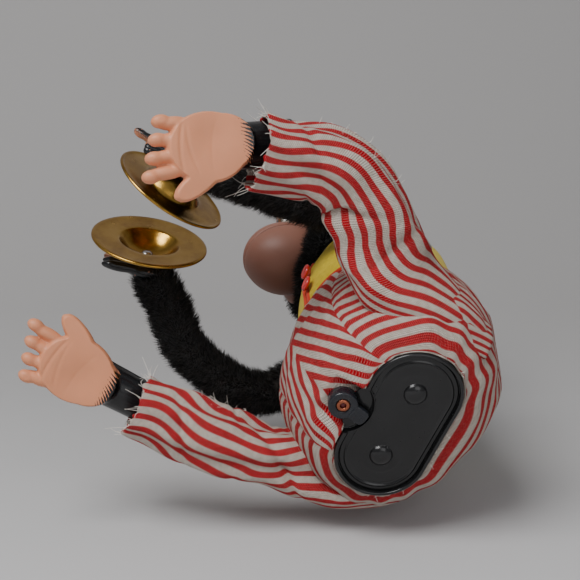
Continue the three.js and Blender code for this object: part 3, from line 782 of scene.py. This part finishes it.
def torso_cloth(stripes, thread):
    """Seat of the trousers: chevrons on the front strips, rings behind, gathered at the base."""
    rows, front, rest = 92, 22, 104
    profile, _ = spline([(x, y, z) for z, x, y in TORSO_PROFILE], rows)
    run = np.r_[0, np.cumsum(np.linalg.norm(np.diff(profile[:, 1:], axis=0), axis=1))]
    arcs = np.r_[np.linspace(0, 1, front, endpoint=False), np.linspace(1, 2, rest, endpoint=False),
                 np.linspace(2, 3, front, endpoint=False)]
    columns = len(arcs)
    points, lengths = np.empty((rows, columns, 3)), np.empty((rows, columns + 1))
    for i, (a, b, z) in enumerate(profile):
        ring, want, whole = ellipse_at(a, b, arcs)
        share = float(smooth_step((7.5 - z) / 5.6))
        ring = outside_pill(ring, FLANGE_R + 0.45, share)
        points[i, :, :2], points[i, :, 2] = ring, z
        lengths[i] = np.r_[want, whole]
    middle = points.copy()
    middle[..., :2] *= 0.5
    out = points - middle
    out[..., 2] = 0
    out /= np.linalg.norm(out, axis=2, keepdims=True)
    share = (np.arange(columns) / columns)[None, :] * TAU
    down = np.linspace(0, 1, rows)[:, None]
    hem = smooth_step((1 - down) / 0.1)
    pleats = np.sin(share * 15 + 3.2 * np.sin(share * 3)) * smooth_step((down - 0.55) / 0.3) * 0.7 * hem
    pleats += np.sin(share * 17 + 1.4 * np.sin(share * 2 + 1)) * smooth_step((0.25 - down) / 0.25) * 0.7
    swell = wobble(points * np.array((1, 1, 1.5)), 0.045, 3) * 2.2
    swell *= np.abs(np.sin(np.pi * down)) ** 0.5
    creases = -np.abs(wobble(points * np.array((1, 1, 2.2)), 0.03, 8)) ** 0.7 * 2.0 * np.sin(np.pi * down)
    points += out * (pleats + swell + creases)[..., None]
    seam = np.minimum(np.abs(lengths[:, :-1] - SEAM), np.abs(lengths[:, -1:] - SEAM - lengths[:, :-1]))
    points -= out * (1.1 * hump(seam, 1.6) * smooth_step((down - 0.05) * 8))[..., None]
    over = smooth_step((11.5 - np.abs(points[..., 0])) / 3) * (points[..., 1] < -12)
    points[..., 2] = np.maximum(points[..., 2], 8.4 * over)

    def stripe_uv(r, c):
        arc = lengths[r, c]
        whole = lengths[r, -1]
        signed = np.where(arc > whole / 2, arc - whole, arc)
        x, z = np.abs(signed), -run[r]
        chevron = (0.88 * x + 0.47 * z) / PITCH
        in_front = (c.min(axis=1, keepdims=True) < front) & (c.max(axis=1, keepdims=True) <= front)
        in_front |= c.min(axis=1, keepdims=True) >= front + rest
        u = np.where(in_front, chevron, run[r] / PITCH + 0.3)
        v = np.where(in_front, (0.88 * z - 0.47 * x) / PITCH, arc / PITCH)
        return u, v

    cloth = grid_piece("torso_cloth", points, stripe_uv, stripes, "chassis", thickness=CLOTH)
    dress(cloth, "trousers")

    random = np.random.default_rng(11)
    edge = points[-1]
    pick = np.where((edge[:, 1] > 2) & (np.abs(edge[:, 0]) > 4))[0]
    pick = random.choice(pick, 26)
    ways = [(edge[i, 0] * 0.02, edge[i, 1] * 0.02, 0.05) for i in pick]
    frays = threads("rim_threads", edge[pick], ways, random.uniform(1, 3.5, 26), thread, "chassis", 12)


LEGS = {
    "left": {
        "path": [(43, 24, 25), (49.0, 1, 27), (52.5, -21, 31), (60.5, -33.5, 36), (72.5, -47, 39.3),
                 (83.6, -65, 41.2), (80.8, -101.5, 36)],
        "wide": [16, 19, 20.2, 19.6, 17.6, 15.4, 15.4], "deep": [5, 8, 12.5, 15, 15.5, 14.5, 13.2],
        "side": [(0.1, 0.1, 1), (0.2, 0.3, 0.93), (0.45, 0.6, 0.6), (0.6, 0.75, 0.1), (0.75, 0.55, 0.15),
                 (0.85, 0.2, 0.3), (0.82, -0.36, 0.44)],
        "creases": [(0.70, 3.35, -0.085, 0.013, -5.5, 1.15), (0.64, 3.7, -0.06, 0.016, -2.2, 0.8),
                    (0.78, 2.6, 0.05, 0.016, -1.8, 1.0), (0.45, 4.9, 0.04, 0.02, -1.3, 1.2),
                    (0.86, 5.4, 0.05, 0.016, -1.2, 1.2)],
        "stripes": 18, "seed": 5, "bend": [(45, -29, 30), (66, -38, 38)],
    },
    "right": {
        "path": [(-40, 22, 22), (-48, 2, 23), (-50, -18, 24), (-50, -40, 23), (-52, -63, 24),
                 (-52, -84, 26.5), (-51, -105, 28.5)],
        "wide": [13, 15, 14.5, 13.2, 14.5, 14.2, 13.2], "deep": [5, 8, 12, 13.5, 14, 13.4, 12.2],
        "side": [(-0.1, 0, 1), (0.2, 0, 0.95), (0.6, 0, 0.75), (0.8, 0, 0.6), (0.85, 0, 0.5), (0.85, 0, 0.5),
                 (0.85, 0, 0.5)],
        "creases": [(0.57, 1.2, 0.05, 0.018, -2.6, 1.2), (0.64, 2.4, -0.04, 0.02, -1.8, 1.2),
                    (0.46, 4.4, 0.09, 0.022, -3.2, 1.3), (0.36, 5.0, 0.08, 0.02, -2.4, 1.2),
                    (0.70, 0.4, 0.06, 0.016, -1.7, 1.2), (0.83, 4.6, 0.05, 0.016, -1.4, 1.2)],
        "stripes": 14, "seed": 9, "bend": [(-46, -29, 25), (-50, -52, 24)],
    },
}


def leg_cloth(name, stripes, thread):
    spec = LEGS[name]
    rows, columns = 120, 132
    path, length = spline(spec["path"], rows)
    knots = np.linspace(0, 1, len(spec["wide"]))

    def radius_of(t, angle):
        wide, deep = np.interp(t, knots, spec["wide"]), np.interp(t, knots, spec["deep"])
        mouth = 1 + 0.05 * smooth_step((t - 0.93) / 0.07)
        return wide * mouth, deep * mouth

    points = tube_points(path, spec["side"], radius_of, columns)
    out = points - path[:, None, :]
    out /= np.linalg.norm(out, axis=2, keepdims=True)
    t = np.linspace(0, 1, rows)[:, None]
    angle = full_turn(columns)[None, :]
    seed = spec["seed"]
    folds = 0.9 * np.sin(angle * 7 + 2.4 * np.sin(t * 5 + seed) + seed)
    folds *= 0.35 + 0.65 * smooth_step(t * 2 - 0.4)
    folds += 1.1 * np.sin(angle * 4 + seed * 2 + t * 3.2) * np.sin(np.pi * t) ** 0.6
    folds += wobble(points, 0.06, seed) * 1.8
    for centre, around, slope, width, depth, reach in spec["creases"]:
        turn = (angle - around + math.pi) % TAU - math.pi
        line = np.exp(-(((t - centre - slope * turn) / width) ** 2))
        folds = folds + depth * line * np.exp(-((turn / reach) ** 2))
    points += out * folds[..., None]
    ragged = wobble(points[-1], 0.5, seed + 2) * 1.6 + wobble(points[-1], 0.12, seed + 4) * 2.2
    along = path[-1] - path[-3]
    along /= np.linalg.norm(along)
    points[-1] += along * ragged[:, None]
    points[-2] += along * ragged[:, None] * 0.4
    count = spec["stripes"]
    drift = 0.55 * np.sin(np.arange(rows) * 0.075 + seed) + 0.2 * np.sin(np.arange(rows) * 0.19 + seed)

    def stripe_uv(r, c):
        return c / columns * count + drift[r], r / rows * length / PITCH

    cloth = grid_piece("leg_cloth_" + name, points, stripe_uv, stripes, None, thickness=CLOTH)
    dress(cloth, "trouser_leg_" + name)
    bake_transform(cloth)

    random = np.random.default_rng(seed)
    pick = random.integers(0, columns, 46)
    starts = points[-1][pick] - along * 0.6
    ways = along[None, :] + out[-1][pick] * 0.7
    body = name + "_leg"
    frays = threads("cuff_threads_" + name, starts, ways, random.uniform(1.5, 7.5, 46), thread, body, seed)
    worn_rows = random.integers(int(rows * 0.60), int(rows * 0.84), 40)
    worn_columns = random.integers(-9, 6, 40) % columns
    starts = points[worn_rows, worn_columns]
    ways = out[worn_rows, worn_columns] * 0.5 + random.normal(0, 0.8, (40, 3))
    lengths = random.uniform(1.2, 4.0, 40)
    worn = threads("knee_threads_" + name, starts, ways, lengths, thread, body, seed + 1, 0.13)


# ---- Feet ----

FOOT_AT = {"left": (74.8, -124.0, 29.3), "right": (-46.6, -139.2, 30.6)}
FOOT_HEELWARD = {"left": (0.398, 0.866, 0.306), "right": (-0.124, 0.991, -0.059)}
FOOT_UP = (-0.396, 0.189, 0.899)


def foot_matrix(name):
    heelward = Vector(FOOT_HEELWARD[name]).normalized()
    across = heelward.cross(Vector(FOOT_UP)).normalized()
    up = across.cross(heelward)
    turn = Matrix((across, heelward, up)).transposed().to_4x4()
    return moved_to(FOOT_AT[name]) @ turn


def make_foot(name, side, vinyl):
    """A bare sole with five toes, on an ankle that runs up inside the cuff."""
    parts = [egg_points((0, 3, 3), (15.2, 18.0, 12), 22, 32),
             egg_points((side, 9, 4), (13, 15, 12.5), 18, 28)]
    toe_knots = ((7, 6, 3), (12.5, -1, 2.8), (17.5, -10, 2.4), (19, -14.5, 2.2))
    toe, _ = spline([(-side * x, y, z) for x, y, z in toe_knots], 14)

    def toe_radii(t, angle):
        taper = np.sqrt(np.clip(1.02 - t ** 4, 0, 1)) + 0 * angle
        return 5.4 * taper, 5.2 * taper

    parts.append(tube_points(toe, (0, 0, 1), toe_radii, 22))
    for i in range(4):
        x = side * (-8 + i * 6.4)
        y = -16.5 + i * 2.0
        parts.append(egg_points((x * 1.05, y, 2.6), (2.9, 8.5 - i * 0.6, 3.6), 14, 18))
        parts.append(egg_points((x * 1.16, y - 6.2 + i * 0.5, 2.2), (3.0, 4.2, 3.5), 12, 16))
    ankle, _ = spline([(0, 4, 8), (0, 14, 10), (0, 28, 11.5), (0, 43, 12)], 16)

    def ankle_radii(t, angle):
        taper = 1.2 * t + 0 * angle
        return 10.6 - taper, 10.4 - taper

    parts.append(tube_points(ankle, (1, 0, 0), ankle_radii, 28))

    def shape(co):
        """Flattens the sole, and presses creases and an arch into it."""
        x, y, z = co.T
        low = z < 1.2
        flat = np.where(low, np.maximum(z, -1.6 + 0.004 * x ** 2), z)
        crease = np.zeros_like(x)
        for cy, slope, depth in ((-9.5, 0.1, 0.3), (-5.5, -0.12, 0.16), (4, 0.2, 0.1)):
            bow = cy + slope * x + 0.012 * x ** 2
            crease += depth * hump(y - bow, 0.8) * smooth_step((13 - np.abs(x)) / 5)
        arch = 1.4 * hump(y - 5, 9) * hump(x - side * 4, 8)
        z = flat + (crease + arch) * (flat < 0.8)
        return np.stack([x, y, z], axis=1)

    def paint(co):
        """A point's place round the foot, and how far it is into the black paint, in millimetres."""
        x, y, z = co.T
        around = np.arctan2(x, y + 2) * 16
        toe = np.clip((-10 - y) / 6, 0, 1)
        inward = np.minimum(z - 3.2, 9.0) - 9.5 * toe - 3.0 * (side * x < -10.5) * (y < 2)
        ankle_in = (y - 18.5) * 0.9
        return around + y * 0.5, np.maximum(inward, ankle_in) - 0.6

    foot = blob("foot_skin_" + name, parts, 0.6, 4, vinyl, name + "_leg", foot_matrix(name), paint, shape)
    dress(foot, "foot_" + name)


# ---- Arms, hands and cymbals ----

ARM_PATHS = {
    "left": [(36, -1, 147), (43, -27, 129), (40, -56, 116), (38, -84, 116.5), (35, -103, 121),
             (32, -115, 123)],
    "right": [(-36, -1, 147), (-63, -18, 128), (-74, -42, 116), (-63, -80, 114), (-44, -101, 120.5),
              (-33, -114, 123)],
}
WRISTS = {"left": (34, -104, 123), "right": (-40, -104, 122)}
CYMBAL_TILT = math.radians(11.7)
CYMBAL_AT = np.array((16.2, -122, 123.5))


def cymbal_frame(side):
    outward = Vector((side * math.cos(CYMBAL_TILT), math.sin(CYMBAL_TILT), 0))
    centre = Vector(CYMBAL_AT * np.array((side, 1, 1)))
    turn = Vector((0, 0, 1)).rotation_difference(outward).to_matrix().to_4x4()
    return outward, centre, Matrix.Translation(centre * MM) @ turn


def make_cymbal(name, side, brass, steel):
    _, _, place = cymbal_frame(side)
    outer = [(1.6, 8.5), (3.5, 8.45), (5.6, 8.2), (7.4, 7.6), (9, 6.8), (10.6, 5.8), (12.2, 4.5), (13.6, 3.0),
             (14.8, 1.5), (15.7, 0.4), (16.6, 0.02), (19, -0.02), (22, -0.12), (25, -0.25), (27.8, -0.42),
             (28.3, -0.3), (28.9, 0.1), (29.6, 0.05), (30, -0.5), (29.9, -1.1), (29.2, -1.45)]
    inner = [(27.6, -1.25), (25, -1.05), (22, -0.92), (19, -0.82), (16.4, -0.84), (15.9, -0.7), (15.3, -0.1),
             (14.2, 1.3), (13, 2.8), (11.5, 4.3), (10, 5.4), (8.5, 6.1), (7, 6.8), (5.4, 7.35), (3.4, 7.6),
             (1.6, 7.65), (1.6, 8.5)]
    cymbal = lathe("cymbal_disc_" + name, outer + inner, 144, place, brass, name + "_arm")
    dress(cymbal, "cymbal_" + name)
    rivet = [(0.02, 4.9), (0.9, 4.95), (1.9, 5.2), (2.7, 5.75), (3.0, 6.3), (2.9, 6.9), (2.2, 7.3),
             (1.25, 7.45), (1.25, 12.2), (0.02, 12.3)]
    head = lathe("cymbal_rivet_head_" + name, rivet, 40, place, steel, name + "_arm")
    dress(head, "cymbal_rivet_" + name)


def make_arm(name, side, plush):
    path, _ = spline(ARM_PATHS[name], 46)
    radii = [7.4, 8.2, 8.4, 8.2, 8.2, 8.0]
    radius_of = across_and_through(lambda t: np.interp(t, np.linspace(0, 1, len(radii)), radii))
    points = tube_points(path, (0, 0.2, 1), radius_of, 30)
    skin = grid_piece("arm_skin_" + name, closed_ends(points), None, plush, None)
    tangents = np.gradient(path, axis=0)
    tangents /= np.linalg.norm(tangents, axis=1)[:, None]

    def along(root):
        nearest = np.array([np.argmin(np.linalg.norm(path - p, axis=1)) for p in root])
        return tangents[nearest] * 0.8 + np.array((0, 0, -0.25))

    pile = fur("arm_pile_" + name, skin, 30000, 6.6, along, 21 + side, plush)
    for piece in (skin, pile):
        dress(piece, None, name + "_arm")
    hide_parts("arm_sleeve_" + name)


def make_hand(name, side, vinyl):
    outward, centre, _ = cymbal_frame(side)
    outward = np.array(outward)
    palm = np.array(centre) + outward * 14
    forward = np.array((outward[1] * side, -outward[0] * side, 0))
    turn = np.stack([outward, forward, (0, 0, 1)], axis=1)

    def placed(points):
        return points @ turn.T + palm

    parts = [placed(egg_points((0, 0, 0), (5.0, 13.5, 10), 20, 28))]
    for z in (-7.5, -2.5, 2.5, 7.5):
        # The left hand's top finger reaches past its cymbal, and the right fingers stay behind theirs.
        reach = -3.5 if side < 0 else 7.5 * (z > 7)
        half = (2.8, 8.8 + abs(reach) * 0.4, 2.7)
        parts.append(placed(egg_points((-1, 14 + reach * 0.5, z), half, 14, 18)))
        parts.append(placed(egg_points((-1.6, 20 + reach, z + 0.2 * reach), (2.5, 4.2, 2.5), 12, 16)))
    parts.append(placed(egg_points((-3.4, 4, 9.5), (3.0, 8.0, 3.0), 12, 16)))
    wrist = np.array(WRISTS[name], float)
    stub, _ = spline([wrist + (wrist - palm) * 0.3, wrist, palm], 10)
    parts.append(tube_points(stub, (0, 0, 1), across_and_through(lambda t: 7.2 + 0 * t), 24))

    def paint(co):
        local = (co - palm) @ turn
        inward = local[:, 0] * 1.2 - np.clip(local[:, 1] - 14, 0, 9) * 0.3 + 5.0
        return local[:, 1] * 1.4 + local[:, 2] * 2.2, inward + np.clip(-local[:, 2] - 2, 0, 5) * 1.5

    def clear_of_disc(co):
        """Keeps the palm just off the cymbal's outer face and bell."""
        local = (co - np.array(centre)) @ turn
        flat = np.hypot(local[:, 1], local[:, 2])
        bell = np.interp(flat, [0, 7, 10, 13, 15, 16.8, 30, 31], [8.9, 8.2, 6.7, 4.2, 2.0, 0.5, 0.2, -40])
        local[:, 0] = np.maximum(local[:, 0], bell)
        return local @ turn.T + np.array(centre)

    hand = blob("hand_skin_" + name, parts, 0.7, 3, vinyl, name + "_arm", None, paint, clear_of_disc)
    dress(hand, "hand_" + name)


# ---- Body, vest and buttons ----

BODY_ROWS = [(80, 36, 33), (86, 37, 34), (105, 38, 35), (125, 35.5, 32.5), (138, 31.5, 28.5), (150, 20, 19.5),
             (158, 14, 14), (166, 12.5, 12.5)]


def make_body(plush):
    columns = 48
    profile, _ = spline([(a, b, z) for z, a, b in BODY_ROWS], 40)
    angle = full_turn(columns)
    points = np.stack([np.stack([a * np.cos(angle), b * np.sin(angle) + max(0, (z - 140) / 26) * 3,
                                 np.full(columns, z)], axis=1) for a, b, z in profile])
    skin = grid_piece("body_skin", points, None, plush, None)
    pile = fur("body_pile", skin, 36000, 6.6, (0, 0, -1), 31, plush,
               keep=lambda root: (root[:, 2] > 131) | (root[:, 2] < 92))
    for piece in (skin, pile):
        dress(piece, None, "chassis")
    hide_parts("body_plush")


def vest_point(angle, z):
    z_knots = [86, 105, 125, 138]
    a = np.interp(z, z_knots, [42.8, 43.6, 41.2, 37.8])
    b = np.interp(z, z_knots, [39.8, 40.6, 38.2, 34.4])
    return np.stack([a * np.cos(angle), b * np.sin(angle), z + 0 * angle], axis=-1)


def make_vest(felt, trim_material, button):
    rows, columns = 34, 150
    angle = np.linspace(-math.pi / 2 + 0.03, 1.5 * math.pi - 0.03, columns)[None, :]
    t = np.linspace(0, 1, rows)[:, None]
    arms = np.exp(-((np.abs(np.cos(angle)) - 1) / 0.12) ** 2)
    opening = hump(np.sin(angle) + 1, 0.05)
    top = 137 - 6 * arms - 3 * opening
    bottom = 86.2 + 0.8 * np.sin(angle * 5)
    z = top + (bottom - top) * t
    angle = angle + 0 * t
    points = vest_point(angle, z)
    out = points * np.array((1, 1, 0))
    out /= np.linalg.norm(out, axis=2, keepdims=True)
    points += out * (wobble(points, 0.06, 14) * 1.3)[..., None]
    vest = grid_piece("vest_felt", points, lambda r, c: (c * 0.02, r * 0.03), felt, None, closed=False,
                      thickness=FELT)
    dress(vest, "vest", "chassis")
    for name, edge in (("vest_trim_hem", points[-1]), ("vest_trim_left", points[:, 0]),
                       ("vest_trim_right", points[:, -1])):
        path, _ = spline(edge[::6] if len(edge) > 60 else edge[::3], len(edge))
        outward = 0.5 * np.sign(path) * np.array((1, 1, 0))
        trim = tube_piece(name, path + outward, 1.25, trim_material, "chassis", 8)
    for number, z in ((1, 98), (2, 112)):
        dish = [(0.02, -1.1), (3.4, -1.1), (4.0, -0.6), (4.0, 0.2), (3.6, 0.75), (3.0, 0.9), (2.5, 0.65),
                (1.4, 0.45), (0.02, 0.4)]
        place = moved_to((5.5, -44.0, z)) @ Matrix.Rotation(math.radians(90), 4, "X")
        piece = lathe(f"button_{number}", dish, 40, place, button, "chassis")
        dress(piece, f"vest_button_{number}")


# ---- Head ----

NECK = (0, 3, 158)
EYE_AT = (13.0, -39.0, 51.0)
EYE_R = 6.3
MOUTH_Z = 22.4


def head_matrix():
    nod, lean, turn = (math.radians(a) for a in (12, -8, -16))
    spin = Matrix.Rotation(lean, 4, "Y") @ Matrix.Rotation(turn, 4, "Z") @ Matrix.Rotation(nod, 4, "X")
    return moved_to(NECK) @ spin


def make_head(plush, vinyl, eye):
    place = head_matrix()
    skull = egg_points((0, -6, 42), (37.5, 34.5, 38.5), 36, 48)
    skull[..., 1] = np.maximum(skull[..., 1], -23.5)
    skin = grid_piece("skull_skin", skull, None, plush, None)

    def back_and_down(root):
        return np.stack([root[:, 0] * 0.006, np.full(len(root), 0.55), np.full(len(root), -0.75)], axis=1)

    pile = fur("skull_pile", skin, 66000, 8.0, back_and_down, 41, plush,
               keep=lambda root: root[:, 1] > -23.2)
    rim_path = [(36.0 * math.cos(a), -24.5, 42 + 38.5 * math.sin(a)) for a in np.linspace(0, TAU, 61)]
    ruff_skin = tube_piece("ruff_skin", rim_path, 3.2, plush, None, 8)

    def outward(root):
        flow = np.stack([root[:, 0], np.full(len(root), -14.0), root[:, 2] - 42], axis=1)
        return flow / np.linalg.norm(flow, axis=1)[:, None]

    ruff = fur("ruff_pile", ruff_skin, 15000, 6.4, outward, 43, plush)
    chin_path, _ = spline([(-27, -27, 26), (-23, -31, 10), (-12, -36, 1), (0, -39, -2), (12, -36, 1),
                           (23, -31, 10), (27, -27, 26)], 40)
    chin_skin = tube_piece("chin_skin", chin_path, 4.6, plush, None, 10)

    def forward(root):
        return np.stack([root[:, 0] * 0.02, np.full(len(root), -0.8), np.full(len(root), -0.25)], axis=1)

    chin = fur("chin_pile", chin_skin, 13000, 6.6, forward, 44, plush)
    for piece in (skin, pile, ruff_skin, ruff, chin_skin, chin):
        piece.data.transform(place)
        dress(piece, None, "head")
    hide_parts("skull_plush")

    muzzle = egg_points((0, -46, 23), (21, 24.5, 20.5), 30, 44)
    upper = muzzle.copy()
    upper[..., 2] = np.maximum(upper[..., 2], MOUTH_Z + 0.4)
    lower = muzzle * np.array((0.98, 1, 1))
    lower[..., 2] = np.minimum(lower[..., 2], MOUTH_Z - 0.4)
    lower[..., 1] = np.minimum(lower[..., 1], -36)
    parts = [egg_points((0, -23, 43), (34, 16, 37), 30, 44), upper,
             egg_points((0, -37, 60.5), (21, 6, 4.6), 16, 28),
             egg_points((0, -61.5, 35), (6.4, 4.2, 3.8), 14, 20),
             egg_points((0, -46, 43), (5.2, 10, 12), 16, 20)]
    for side in (-1, 1):
        parts.append(egg_points((side * 21, -33, 36), (10, 8, 11), 16, 20))

    def shape(co):
        x, y, z = co.T.copy()
        y = np.minimum(y, -21.5)
        for side in (-1, 1):
            reach = np.hypot(x - side * EYE_AT[0], z - EYE_AT[2])
            y = np.where(reach < 7.0, np.maximum(y, -36.5), y)
            nostril = np.hypot(x - side * 2.9, (z - 31.6) * 1.1)
            y = y + 2.2 * hump(nostril, 1.35) * (y < -52)
        smile = MOUTH_Z + 1.2 + 0.004 * x ** 2
        y = y + 0.5 * hump(z - smile, 0.8) * (y < -45)
        for row in (66.0, 69.5):
            y = y + 0.45 * hump(z - row - 0.01 * x ** 2, 0.6) * (np.abs(x) < 18)
        return np.stack([x, y, z], axis=1)

    face = blob("face_skin", parts, 0.9, 4, vinyl, "head", place, None, shape)
    dress(face, "face_mask")
    jaw = blob("jaw_skin", [lower], 0.8, 3, vinyl, "lower_jaw", place, None,
               lambda co: np.stack([co[:, 0], co[:, 1], np.minimum(co[:, 2], MOUTH_Z - 0.35)], axis=1))
    dress(jaw, "jaw")

    for name, side in (("left", 1), ("right", -1)):
        pole_forward = np.array(((1, 0, 0), (0, 0, 1), (0, -1, 0)))
        ball = egg_points((0, 0, 0), (EYE_R, EYE_R, EYE_R), 28, 36) @ pole_forward
        ball += np.array((side * EYE_AT[0], EYE_AT[1], EYE_AT[2]))
        eyeball = grid_piece("eyeball_" + name, ball, lambda r, c: (c / 36, r / 27), eye, None)
        eyeball.data.transform(place)
        dress(eyeball, "eye_" + name, "head")
        lid_angle = np.linspace(0.35, math.pi - 0.35, 20)
        lid_path = [(side * EYE_AT[0] + 6.9 * math.cos(a), EYE_AT[1] - 3.6,
                     EYE_AT[2] + 5.2 * math.sin(a) - 0.2) for a in lid_angle]
        lid = tube_piece("eyelid_" + name, lid_path, 1.7, vinyl, None, 12)
        lid.data.transform(place)
        dress(lid, None, "head")

        ear_parts = [egg_points((side * 46, 0, 44), (13.5, 2.4, 15), 18, 28)]
        for a in np.linspace(-2.3, 2.3, 15):
            centre = (side * (46 + 12.2 * math.cos(a)), -1.2, 44 + 13.6 * math.sin(a))
            ear_parts.append(egg_points(centre, (3.0, 2.9, 3.0), 10, 14))
        ear = blob("ear_skin_" + name, ear_parts, 0.8, 5, vinyl, "head", place)
        dress(ear, "ear_" + name)


# ---- Finishes for the CAD nodes that keep their own shape ----

def finish_inner_nodes(steel, brass_plain, white):
    """Mechanism nodes inside the toy keep their CAD shape and get a real finish."""
    finishes = {
        "mechanism_base_plate": steel, "gear_plate_front": steel, "gear_plate_rear": steel, "motor": steel,
        "motor_pinion": brass_plain, "reduction_wheel": white, "reduction_pinion": brass_plain,
        "drive_gear": white, "crank_disc": steel, "squeaker_bellows": white, "squeaker_reed": brass_plain,
        "shoulder_bridge": steel, "neck_post": steel, "head_pin": steel, "contact_strip": steel,
    }
    for name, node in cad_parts.items():
        if node.hide_render:
            continue
        material = finishes.get(name)
        if material is None:
            material = brass_plain if "pillar" in name else steel
        node.data.materials.clear()
        node.data.materials.append(material)


def build():
    stripes = stripe_material()
    plush = fur_material()
    thread = plain_material("loose_thread", (0.78, 0.73, 0.66), 0.9, grain=900, depth=0.05)
    black = plain_material("black_styrene", (0.006, 0.006, 0.0064), 0.24, grain=700, depth=0.05)
    blue_black = plain_material("switch_plastic", (0.009, 0.0105, 0.015), 0.26, grain=500, depth=0.1)
    copper = plain_material("copper_eyelet", (0.34, 0.11, 0.06), 0.3, 1.0, 300, 0.1)
    wine = plain_material("wine_core", (0.11, 0.012, 0.016), 0.5)
    steel = plain_material("plated_steel", (0.55, 0.55, 0.56), 0.24, 1.0, 350, 0.08)
    brass_plain = plain_material("plain_brass", (0.62, 0.44, 0.17), 0.3, 1.0, 350, 0.08)
    white = plain_material("white_nylon", (0.72, 0.70, 0.64), 0.45)
    red = plain_material("red_button", (0.55, 0.02, 0.02), 0.25, coat=0.4)
    trim = felt_material("red_trim", (0.55, 0.05, 0.02))
    painted = vinyl_material("painted_vinyl", True, PALM_TONE)
    # The head's vinyl carries painted shade in its darker tone.
    flesh = vinyl_material("flesh_vinyl", False, SHADED_FACE_TONE)

    make_base(black)
    make_lever(blue_black, copper, wine)
    torso_cloth(stripes, thread)
    for name, side in (("left", 1), ("right", -1)):
        leg_cloth(name, stripes, thread)
        make_foot(name, side, painted)
        make_arm(name, side, plush)
        make_cymbal(name, side, brass_material(), steel)
        make_hand(name, side, painted)
    make_body(plush)
    make_vest(felt_material("yellow_felt"), trim, red)
    make_head(plush, flesh, eye_material())
    finish_inner_nodes(steel, brass_plain, white)


make_stage()
make_lights()
make_camera()
build()
